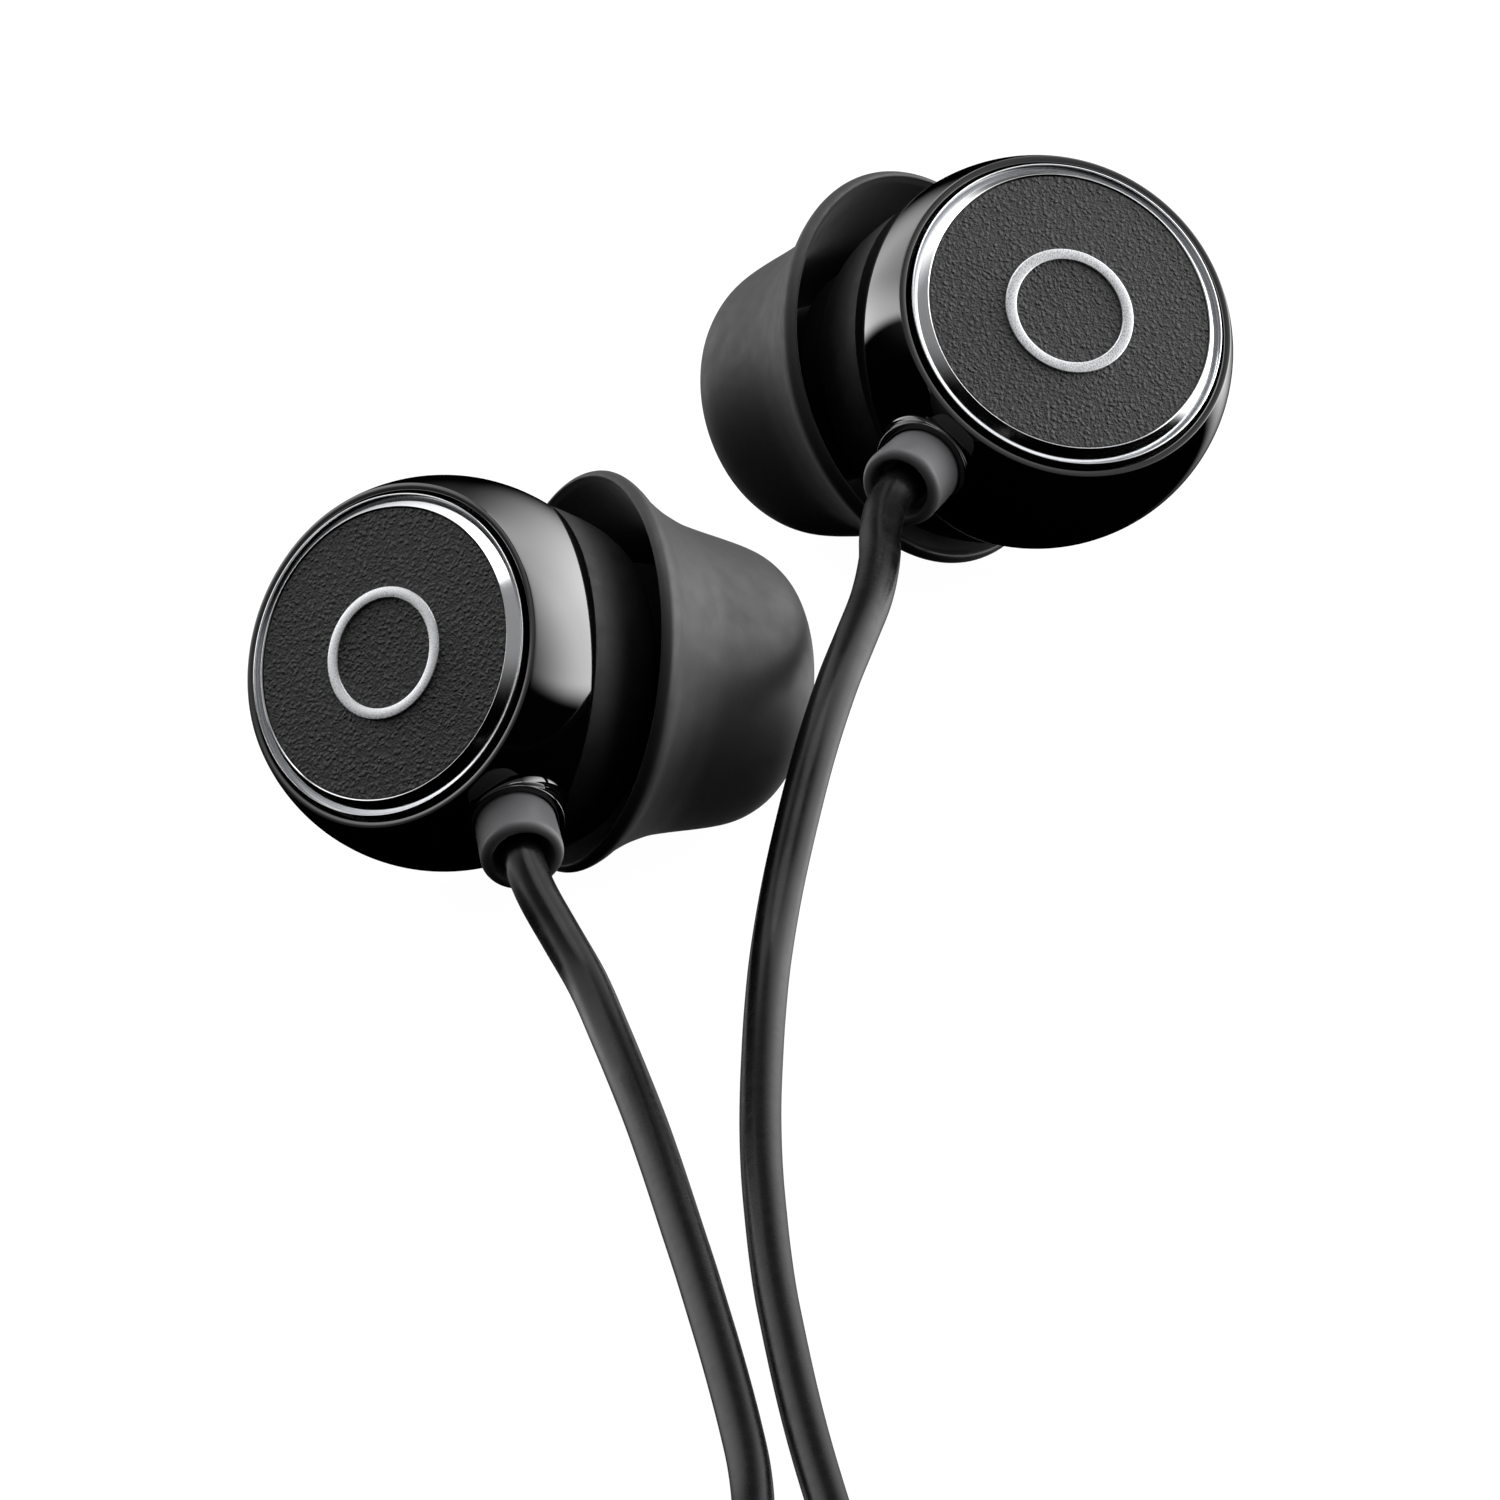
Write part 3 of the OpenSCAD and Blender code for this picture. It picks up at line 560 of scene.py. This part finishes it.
rearShellSet = {
    "dome": [(6.33, 2.92), (6.26, 3.3), (6.15, 3.7), (5.95, 4.35), (5.65, 5.05), (5.2, 5.7),
             (4.7, 6.05), (4.2, 6.24), (3.4, 6.29)],
    "inside": [(1.95, 6.29), (1.95, 6.1), (3.9, 4.6), (3.9, 4), (4.6, 4), (4.6, 2.92)],
    "neck": [(4, 5.6), (4, 7.55, 0.18), (2.4, 7.62, 0.12), (2.4, 11.1, 0.2), (2.56, 11.4, 0.1),
             (2.56, 11.7, 0.1), (2.4, 12, 0.05), (2.1, 12, 0.05), (2.1, 11.7), (1.9, 11.7),
             (1.9, 5.6)],
}


def makeRearShell(side):
    bm = turned(smoothLine(rearShellSet["dome"]) + [Vector(p) for p in rearShellSet["inside"]])
    finishPiece(side + "_rear_housing", bm, earMatrix(side), satinAbs,
                [side + "_rear_shell"])
    bm = turned(roundCorners(rearShellSet["neck"]))
    finishPiece(side + "_sound_nozzle", bm, earMatrix(side) @ nozzleMatrix, satinAbs)


faceSet = {"radius": 5.24, "top": 3.66, "flange": 5.88, "flangeTop": 2.6, "base": 2.25,
           "edge": 0.06}


def makeFace(side):
    radius, top, base = faceSet["radius"], faceSet["top"], faceSet["base"]
    flange, step = faceSet["flange"], faceSet["flangeTop"]
    outline = [(0, base), (flange, base), (flange, step), (radius, step),
               (radius, top, faceSet["edge"]), (0, top)]
    bm = turned(roundCorners(outline), closed=False, steps=128)
    finishPiece(side + "_face_grain", bm, earMatrix(side) @ faceMatrix, grainedVinyl,
                [side + "_face_insert"])


emblemSet = {"radius": 2.4, "width": 0.42, "base": 3.56, "top": 3.74, "edge": 0.04}


def makeEmblem(side):
    outer, top, edge = emblemSet["radius"], emblemSet["top"], emblemSet["edge"]
    inner, base = outer - emblemSet["width"], emblemSet["base"]
    outline = [(inner, base), (outer, base), (outer, top, edge), (inner, top, edge)]
    bm = turned(roundCorners(outline), steps=128)
    finishPiece(side + "_emblem_circle", bm, earMatrix(side) @ faceMatrix, brushedAluminium,
                [side + "_emblem"])


trimSet = {"outline": [(5.25, 2.6), (5.8, 2.6), (5.8, 3.44, 0.02), (5.75, 3.46, 0.02),
                       (5.74, 3.26), (5.71, 3.26), (5.69, 3.28, 0.01), (5.29, 3.7, 0.015),
                       (5.25, 3.67)]}


def makeTrim(side):
    bm = turned(roundCorners(trimSet["outline"], 4), steps=256)
    finishPiece(side + "_trim_bezel", bm, earMatrix(side) @ faceMatrix, polishedChrome,
                [side + "_trim_ring"], sharp=30)


reliefSet = {"outline": [(0, -1.2), (1.42, -1.2), (1.44, 0.5), (1.5, 2.4, 0.3), (1.08, 2.4, 0.1),
                         (1, 1.6, 0.08), (0, 1.6)]}


def makeRelief(side):
    bm = turned(roundCorners(reliefSet["outline"], 6), closed=False, steps=96)
    finishPiece(side + "_cable_boot", bm, earMatrix(side) @ inletMatrix, mouldedTpe,
                [side + "_strain_relief"])


tipSet = {
    "lip": (6.82, 5.1), "skin": [
        (6.9, 5.02), (7, 5.05), (7.1, 5.2), (7.12, 5.4), (6.95, 5.7), (6.58, 6.15), (6.12, 6.88),
        (5.82, 7.5), (5.57, 8.15), (5.37, 9), (5.19, 9.9), (5.02, 10.65), (4.84, 11.22),
        (4.6, 11.68), (4.25, 12.12), (3.75, 12.5), (3.1, 12.84), (2.4, 13.12), (2, 13.26)],
    "stem": [(1.7, 13.34, 0.1), (1.7, 12.4), (2.6, 12.3), (2.6, 8.2, 0.1), (3.2, 8.2, 0.1),
             (3.2, 11.7, 0.12)],
    "cavity": [(3.45, 12), (3.9, 11.68), (4.22, 11.28), (4.42, 10.8), (4.58, 10.2), (4.76, 9.3),
               (4.95, 8.3), (5.3, 7.35), (5.72, 6.6), (6.25, 5.85), (6.62, 5.3), (6.7, 5.18)],
}


def makeTip(side):
    outline = (smoothLine([tipSet["lip"]] + tipSet["skin"]) + roundCorners(tipSet["stem"])
               + smoothLine(tipSet["cavity"]))
    bm = turned(outline)
    finishPiece(side + "_silicone_tip", bm, earMatrix(side) @ nozzleMatrix, mouldedSilicone,
                [side + "_ear_tip"], side + "_tip", sharp=50)


meshSet = {"radius": 2.1, "level": 11.7, "thick": 0.1, "hole": 0.13, "pitch": 0.4,
           "holesTo": 1.85, "rows": 5}


def makeNozzleMesh(side):  # etched steel disc with staggered holes
    bm = bmesh.new()
    bmesh.ops.create_circle(bm, segments=72, radius=meshSet["radius"])
    pitch, rows = meshSet["pitch"], meshSet["rows"]
    for row in range(-rows, rows + 1):
        for column in range(-rows, rows + 1):
            where = Vector(((column + row % 2 / 2) * pitch, row * pitch * math.sqrt(0.75), 0))
            if where.length < meshSet["holesTo"]:
                bmesh.ops.create_circle(bm, segments=12, radius=meshSet["hole"],
                                        matrix=Matrix.Translation(where))
    bmesh.ops.triangle_fill(bm, use_beauty=True, edges=bm.edges)
    bmesh.ops.solidify(bm, geom=bm.faces[:], thickness=meshSet["thick"])
    place = earMatrix(side) @ nozzleMatrix @ Matrix.Translation((0, 0, meshSet["level"]))
    finishPiece(side + "_nozzle_screen", bm, place, stainlessSteel,
                [side + "_nozzle_mesh"])


for side in ("right", "left"):
    for make in (makeFrontShell, makeCollar, makeRearShell, makeFace, makeEmblem, makeTrim,
                 makeRelief, makeTip, makeNozzleMesh):
        make(side)
print("earpieces built")

# Lofted pieces: a rounded rectangle (half width, half length, corner) that grows along an outline


def boxLoop(bm, half, growth, level, centre, segments):
    corner = half[2] + growth
    points = []
    for k in range(4):
        x = (half[0] - half[2]) * (1, -1, -1, 1)[k] + centre[0]
        y = (half[1] - half[2]) * (1, 1, -1, -1)[k] + centre[1]
        for i in range(segments + 1):
            a = math.radians(90 * (k + i / segments))
            here = Vector((x + corner * math.cos(a), y + corner * math.sin(a), level))
            if not points or min((here - points[j]).length for j in (0, -1)) > 0.001:
                points.append(here)
    points = [bm.verts.new(point) for point in points]
    return [bm.edges.new(pair) for pair in zip(points, points[1:] + points[:1])]


def lofted(half, outline, closed=False, segments=8, bm=None, centre=(0, 0)):
    # each loop is drawn out of the one before, so that facing loops stay paired
    bm = bm or bmesh.new()
    loops = [boxLoop(bm, half, *outline[0], centre, segments)]
    limits = half[0] - half[2], half[1] - half[2]
    for growth, level in list(outline[1:]) + ([outline[0]] if closed else []):
        made = bmesh.ops.extrude_edge_only(bm, edges=loops[-1])["geom"]
        loops.append([e for e in made if isinstance(e, bmesh.types.BMEdge) and e.is_boundary])
        for vert in [v for v in made if isinstance(v, bmesh.types.BMVert)]:
            here = vert.co.xy - Vector(centre)
            root = Vector([min(max(c, -limit), limit) for c, limit in zip(here, limits)])
            place = root + (here - root).normalized() * (half[2] + growth) + Vector(centre)
            vert.co = (*place, level)
    return bm, loops


def capped(bm, loops):
    for loop in (loops[0], loops[-1]):
        bmesh.ops.contextual_create(bm, geom=loop)
    weld(bm)
    return bm


def ribs(first, last, count, depth, soft, share=0.4):  # a tapering line with grooves round it
    first, last = Vector(first), Vector(last)
    made = []
    for k in range(count):
        start = first.lerp(last, k / count)
        made.append((*start, soft))
        if k < count - 1:
            end = first.lerp(last, (k + 1 - share) / count)
            after = first.lerp(last, (k + 1) / count)
            made += [(*end, soft), (end.x - depth, end.y, soft), (after.x - depth, after.y, soft)]
    return made + [(*last, soft)]


tieSet = {"width": 2.5, "slack": 0.1, "corner": 0.7, "round": 0.15, "innerRound": 0.08,
          "angles": (90, 270)}


def makeTies():  # two flat silicone bands round each coil
    whole = bmesh.new()
    thick, half = cableSet["tie"], tieSet["width"] / 2
    soft, inside = tieSet["round"], tieSet["innerRound"]
    band = roundCorners([(0, -half, inside), (thick, -half, soft), (thick, half, soft),
                         (0, half, inside)], 3)
    for coilName in ("rightCoil", "leftCoil", "mainCoil"):
        coil = cableSet[coilName]
        room = coil["diameter"] / 2 + tieSet["slack"]
        inner = coil["radius"] - coil["pitch"] * (coil["perLayer"] - cableSet["shift"]) - room
        outer = coil["radius"] + room
        high = coil["diameter"] + (coil["layers"] - 1) * coil["rise"] + tieSet["slack"]
        centre = Vector((*coil["centre"][:2], 0))
        for angle in tieSet["angles"]:
            bm, loops = lofted(((outer - inner) / 2, high / 2, tieSet["corner"]), band, closed=True)
            weld(bm)
            place = (Matrix.Translation(centre) @ turnMatrix("Z", coil["start"] + angle)
                     @ Matrix.Translation(((inner + outer) / 2, 0, thick + high / 2))
                     @ turnMatrix("X", 90))
            bmesh.ops.transform(bm, matrix=place, verts=bm.verts)
            bandMesh = bpy.data.meshes.new("band")
            bm.to_mesh(bandMesh)
            bm.free()
            whole.from_mesh(bandMesh)
            bpy.data.meshes.remove(bandMesh)
    return [finishPiece("coil_tie_bands", whole, Matrix(), tieRubber, ["coil_ties"])]


remoteSet = {
    "place": (-0.6, -95.25, 0), "half": (3.1, 17, 3.1), "middle": 2.3, "top": 4.6,
    "tray": [(-0.75, 0), (0, 0, 0.6), (0, 2.28, 0.06), (-0.7, 2.28), (-0.7, 0.7), (-0.75, 0.7)],
    "lid": [(-0.75, 3.9), (-0.7, 3.9), (-0.7, 2.32), (0, 2.32, 0.06), (0, 4.6, 0.7), (-0.8, 4.6)],
    "keys": {"plus": 8, "centre": 0, "minus": -8}, "keyHole": 1.9, "voice": (12.8, 0.3),
    "easing": [(0.13, 0), (0.08, 0), (0.02, 0.03), (0, 0.1)],  # wider and deeper, at a hole's top
    "key": [(0, 2.75), (2.2, 2.75), (2.2, 3.25, 0.1), (1.8, 3.25), (1.8, 5.05, 0.22), (1.5, 5.05)],
    "dish": [(1.45, 5.045), (1.2, 5), (0.8, 4.94), (0.4, 4.91), (0, 4.9)],
    "bar": (1.3, 0.26, 0.16), "bars": {"plus": (0, 90), "centre": (), "minus": (0,)},
    "pip": 0.34, "markLevel": 4.95, "markEdge": 0.04,
}


def roundHole(bm, centre, radius, top, low):  # with an eased upper edge
    outline = [(wider, top - drop) for wider, drop in remoteSet["easing"]] + [(0, low)]
    loops = lofted((radius, radius, radius), outline, False, 12, bm, (0, centre))[1]
    return loops[0], loops[-1]


def makeRemoteCase():
    place = Matrix.Translation(remoteSet["place"])
    bm, loops = lofted(remoteSet["half"], roundCorners(remoteSet["tray"]), segments=16)
    tray = finishPiece("remote_tray", capped(bm, loops), place, glossyLacquer,
                       ["remote_rear_shell"])
    bm, loops = lofted(remoteSet["half"], roundCorners(remoteSet["lid"]), segments=16)
    under, over = loops[0], loops[-1]
    holes = [(y, remoteSet["keyHole"]) for y in remoteSet["keys"].values()]
    for centre, radius in holes + [remoteSet["voice"]]:
        first, last = roundHole(bm, centre, radius, remoteSet["top"], remoteSet["lid"][0][1])
        over, under = over + first, under + last
    for edges in (over, under):
        bmesh.ops.triangle_fill(bm, use_beauty=True, edges=edges)
    weld(bm)
    return [tray, finishPiece("remote_lid", bm, place, glossyLacquer,
                              ["remote_front_shell"])]


def makeKeys():
    made = []
    for name, y in remoteSet["keys"].items():
        place = Matrix.Translation(remoteSet["place"]) @ Matrix.Translation((0, y, 0))
        bm = turned(roundCorners(remoteSet["key"]) + smoothLine(remoteSet["dish"]), closed=False,
                    steps=64)
        made.append(finishPiece(name + "_key_cap", bm, place, buttonAbs,
                                ["remote_button_" + name], name + "_key"))
        bm = bmesh.new()
        sizes = Matrix.Diagonal((*remoteSet["bar"], 1))
        for angle in remoteSet["bars"][name]:
            bmesh.ops.create_cube(bm, size=1, matrix=turnMatrix("Z", angle) @ sizes)
        if not bm.verts:  # the centre key has a round pip instead
            bmesh.ops.create_cone(bm, cap_ends=True, segments=32, radius1=remoteSet["pip"],
                                  radius2=remoteSet["pip"], depth=remoteSet["bar"][2])
        bmesh.ops.bevel(bm, geom=[edge for edge in bm.edges if edge.calc_face_angle(0) > 1],
                        offset=remoteSet["markEdge"], segments=2, profile=0.5, affect="EDGES",
                        material=-1)
        place = place @ Matrix.Translation((0, 0, remoteSet["markLevel"]))
        made.append(finishPiece(name + "_key_mark", bm, place, markInk,
                                body=name + "_key"))
    return made


bootSet = {"outline": [(0, -1.2), (1.1, -1.2), (1.1, -0.3)]
           + ribs((1.3, -0.3), (0.98, 3), 4, 0.13, 0.05) + [(0, 3)]}


def makeBoots():
    made = []
    place = Matrix.Translation(remoteSet["place"]) @ Matrix.Translation((0, 0, remoteSet["middle"]))
    for name, way in (("upper", -90), ("lower", 90)):
        bm = turned(roundCorners(bootSet["outline"], 3), closed=False, steps=64)
        along = turnMatrix("X", way) @ Matrix.Translation((0, 0, remoteSet["half"][1]))
        made.append(finishPiece(
            "remote_" + name + "_boot", bm, place @ along, mouldedTpe,
            ["remote_strain_reliefs"] if name == "upper" else []))
    return made


splitterSet = {
    "place": (0.9, -141.75, 2.5), "half": (3.3, 2.5, 2.5), "outline": [
        (-2.4, -5.5), (-0.4, -5.5, 0.3), (0, -4.6, 1.2), (0, -0.15, 0.04), (-0.12, -0.15, 0.03),
        (-0.12, 0.15, 0.03), (0, 0.15, 0.04), (0, 4.6, 1.2), (-0.4, 5.5, 0.3), (-2.4, 5.5)],
    "collars": [(-1.5, 0.75, 1), (1.5, 0.75, 1), (0, 0.9, -1)],  # place, cable's radius, way
    "collar": [(0.4, 5.3), (0.4, 5.6, 0.1), (0.15, 6.1, 0.1)],  # first numbers beyond the cable
}


def makeSplitter():
    place = Matrix.Translation(splitterSet["place"]) @ turnMatrix("X", -90)
    bm, loops = lofted(splitterSet["half"], roundCorners(splitterSet["outline"], 4), segments=16)
    made = [finishPiece("splitter_block", capped(bm, loops), place, satinAbs,
                        ["splitter"])]
    collar = splitterSet["collar"]
    for k, (x, radius, way) in enumerate(splitterSet["collars"]):
        outline = [(0, collar[0][1])] + [(radius + wall, *rest) for wall, *rest in collar]
        bm = turned(roundCorners(outline + [(0, collar[-1][1])]), closed=False, steps=64)
        made.append(finishPiece(
            "splitter_collar_" + str(k + 1), bm, place @ Matrix.Translation((x, 0, 0))
            @ Matrix.Diagonal((1, 1, way, 1)), mouldedTpe))
    return made


plugSet = {
    "place": (28.7, -118.75, 2.75),
    "body": [(0, -14), (2.25, -14, 0.1), (2.75, -13.5, 0.3)]
    + ribs((2.75, -10.6), (2.75, -3.4), 9, 0.13, 0.06, 0.35)
    + [(2.75, -0.8, 0.15), (2.45, -0.5, 0.05), (2.45, 0), (0, 0)],
    "boot": [(0, -22)] + ribs((1.15, -22), (1.7, -14), 8, 0.22, 0.08) + [(0, -14)],
    "sleeve": [(0, 0), (1.75, 0), (1.75, 4.6, 0.05), (0, 4.6)],
    "rings": [(0, 5.2), (1.75, 5.2, 0.05), (1.75, 7.2, 0.05), (0.9, 7.2), (0.9, 7.8),
              (1.75, 7.8, 0.05), (1.75, 9.8, 0.05), (0, 9.8)],
    "bands": [(0.8, 4.6), (1.72, 4.6), (1.72, 5.2), (0.8, 5.2), (0.8, 7.2), (1.72, 7.2),
              (1.72, 7.8), (0.8, 7.8), (0.8, 9.8), (1.72, 9.8), (1.72, 10.4), (0.8, 10.4)],
    "point": [(0, 10.4), (1.75, 10.4, 0.05), (1.75, 10.95, 0.15), (1.15, 11.8, 0.15),
              (1.15, 12, 0.15), (1.62, 12.6, 0.15), (1.6, 13, 0.3), (0.9, 13.9, 0.15),
              (0.6, 14, 0.1), (0, 14)],
}


def makePlug():
    made = []
    place = Matrix.Translation(plugSet["place"]) @ turnMatrix("X", -90)
    for name, key, material, slot, node in (
            ("plug_grip", "body", satinAbs, "remote_case", "plug_body"),
            ("plug_boot", "boot", mouldedTpe, "relief_rubber", "plug_strain_relief"),
            ("plug_sleeve_contact", "sleeve", nickelPlate, "plug_metal", "plug_sleeve"),
            ("plug_ring_contacts", "rings", nickelPlate, "plug_metal", "plug_rings"),
            ("plug_spacers", "bands", insulatorNylon, "insulator", "plug_insulators"),
            ("plug_point", "point", nickelPlate, "plug_metal", "plug_tip")):
        bm = turned(roundCorners(plugSet[key], 3), closed=key == "bands", steps=96)
        made.append(finishPiece(name, bm, place, material, [node]))
    return made


ties = makeTies()
remote = makeRemoteCase() + makeKeys() + makeBoots() + [
    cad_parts[n] for n in ("remote_board", "remote_switches", "remote_microphone")]
splitter = makeSplitter()
plug = makePlug()
print("remote, splitter, plug and ties built")

# Floor and lights: plain white table, broad soft light in the surroundings, one softbox above

studioSet = {  # degrees round the camera's upright, 0 behind the earphones, 90 at the right
    "right": {"strength": 5.2, "grows": (4, 80), "fades": (138, 90), "floor": (-0.27, -0.06),
              "ceiling": (0.45, 0.95), "dimmed": 0.5, "roundFrom": 98, "rounding": 0.4},
    "left": {"strength": 1.5, "grows": (-12, -48), "fades": (-118, -92),
             "edge": ((-85, 13), (-50, 0.5)), "softness": (-0.04, 0.06), "glow": 1.8,
             "glowEnds": (0.05, 0.34), "glowGrows": (-25, -60)},
    "front": {"strength": 0.35, "from": (0, 0.8, -0.6), "grows": (-0.2, 0.9),
              "floor": (-0.1, 0.3)},
}


def studioDirection(azimuth, height):  # right, up and away from the camera
    a, h = math.radians(azimuth), math.radians(height)
    return Vector((math.sin(a) * math.cos(h), math.sin(h), math.cos(a) * math.cos(h)))


def makeStudio():
    world = bpy.data.worlds.new("studio")
    scene.world = world
    world.use_nodes = True
    tree = world.node_tree
    direction = addNode(tree, "ShaderNodeTexCoord").outputs["Generated"]
    turn = camera.rotation_quaternion

    def along(x, y, away):
        axis = turn @ Vector((x, y, -away))
        return addNode(tree, "ShaderNodeVectorMath", [(0, direction), (1, axis)],
                       operation="DOT_PRODUCT").outputs["Value"]

    def maths(operation, first, second):
        return addNode(tree, "ShaderNodeMath", [(0, first), (1, second)],
                       operation=operation).outputs[0]

    def fade(value, ends, first=0.0, last=1.0):
        return addNode(tree, "ShaderNodeMapRange", [
            ("Value", value), ("From Min", ends[0]), ("From Max", ends[1]), ("To Min", first),
            ("To Max", last)], interpolation_type="SMOOTHSTEP").outputs[0]

    def angles(ends):
        return [math.radians(a) for a in ends]

    up = along(0, 1, 0)
    azimuth = maths("ARCTAN2", along(1, 0, 0), along(0, 0, 1))
    right, left, front = studioSet["right"], studioSet["left"], studioSet["front"]
    # a tall curtain at the right, with its lower far corner rounded off
    light = maths("MULTIPLY", fade(azimuth, angles(right["grows"]), 0, right["strength"]),
                  fade(azimuth, angles(right["fades"])))
    past = maths("MAXIMUM", maths("SUBTRACT", azimuth, math.radians(right["roundFrom"])), 0)
    rise = maths("MULTIPLY", maths("POWER", past, 2), right["rounding"])
    light = maths("MULTIPLY", light, fade(maths("SUBTRACT", up, rise), right["floor"]))
    light = maths("MULTIPLY", light, fade(up, right["ceiling"], 1, right["dimmed"]))
    # a panel at the left, brighter towards its slanting lower edge
    first, last = [studioDirection(*place) for place in left["edge"]]
    height = along(*first.cross(last).normalized())
    panel = fade(azimuth, angles(left["grows"]), 0, left["strength"])
    glow = maths("MULTIPLY", fade(azimuth, angles(left["glowGrows"]), 0, left["glow"]),
                 fade(height, left["glowEnds"], 1, 0))
    panel = maths("MULTIPLY", maths("ADD", panel, glow), fade(height, left["softness"]))
    panel = maths("MULTIPLY", panel, fade(azimuth, angles(left["fades"])))
    # faint light from above and behind the camera
    fill = maths("MULTIPLY", fade(along(*front["from"]), front["grows"], 0, front["strength"]),
                 fade(up, front["floor"]))
    total = maths("ADD", maths("ADD", light, panel), fill)
    seen = addNode(tree, "ShaderNodeLightPath").outputs["Is Camera Ray"]
    background = tree.nodes["Background"]
    background.inputs["Color"].default_value = hexColour("#ffffff")
    tree.links.new(maths("MAXIMUM", total, seen), background.inputs["Strength"])


softboxSet = {"direction": (0.05, 0.95, 0.3), "size": (0.35, 0.3), "distance": 0.6, "power": 1.2}


def makeSoftbox():
    away = (camera.rotation_quaternion @ Vector(softboxSet["direction"])).normalized()
    data = bpy.data.lights.new("top_softbox", "AREA")
    data.shape = "RECTANGLE"
    data.size, data.size_y = softboxSet["size"]
    data.energy = softboxSet["power"]
    light = bpy.data.objects.new("top_softbox", data)
    light.location = Vector(cameraSet["target"]) + away * softboxSet["distance"]
    light.rotation_mode = "QUATERNION"
    light.rotation_quaternion = away.to_track_quat("Z", "Y")
    light.visible_camera = False
    scene.collection.objects.link(light)


floorSet = {"half": 3, "glow": 0.98, "cloud": 40, "tones": ("#404040", "#4a4a4a")}


def makeFloor():  # painted board: flat white to the camera, with only a trace of shadow
    bm = bmesh.new()
    bmesh.ops.create_grid(bm, x_segments=2, y_segments=2, size=floorSet["half"])
    mesh = bpy.data.meshes.new("floor")
    bm.to_mesh(mesh)
    bm.free()
    floor = bpy.data.objects.new("floor", mesh)
    scene.collection.objects.link(floor)
    material, tree, shader = newMaterial("white_table", "#ffffff", Roughness=0.9)
    shader.inputs["Emission Color"].default_value = hexColour("#ffffff")
    shader.inputs["Emission Strength"].default_value = floorSet["glow"]
    varyColour(tree, shader, noise(tree, millimetres(tree), floorSet["cloud"]),
               *floorSet["tones"])
    mesh.materials.append(material)
    floor.visible_glossy = floor.visible_diffuse = False


makeStudio()
makeSoftbox()
makeFloor()
scene.view_settings.view_transform = "Standard"
print("floor and lights set")

# Solids that keep their own shape get the finish of the real part

earFinish = {
    "nozzle_damper": damperFoam, "driver_frame": driverPbt, "magnet": nickelMagnet,
    "pole_plate": softIron, "yoke": softIron, "voice_coil": copperWire,
    "diaphragm": diaphragmFilm, "cable_crimp": crimpBrass}
solidFinish = {
    "remote_board": glassEpoxy, "remote_switches": stainlessSteel,
    "remote_microphone": stainlessSteel}
for side in ("right", "left"):
    solidFinish.update({side + "_" + part: material for part, material in earFinish.items()})
for name, material in solidFinish.items():
    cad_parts[name].data.materials.clear()
    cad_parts[name].data.materials.append(material)
for cable in (rightUpper, rightLower, leftCable, mainCable):
    cable.data.materials.append(cableTpe)
print("finishes set")
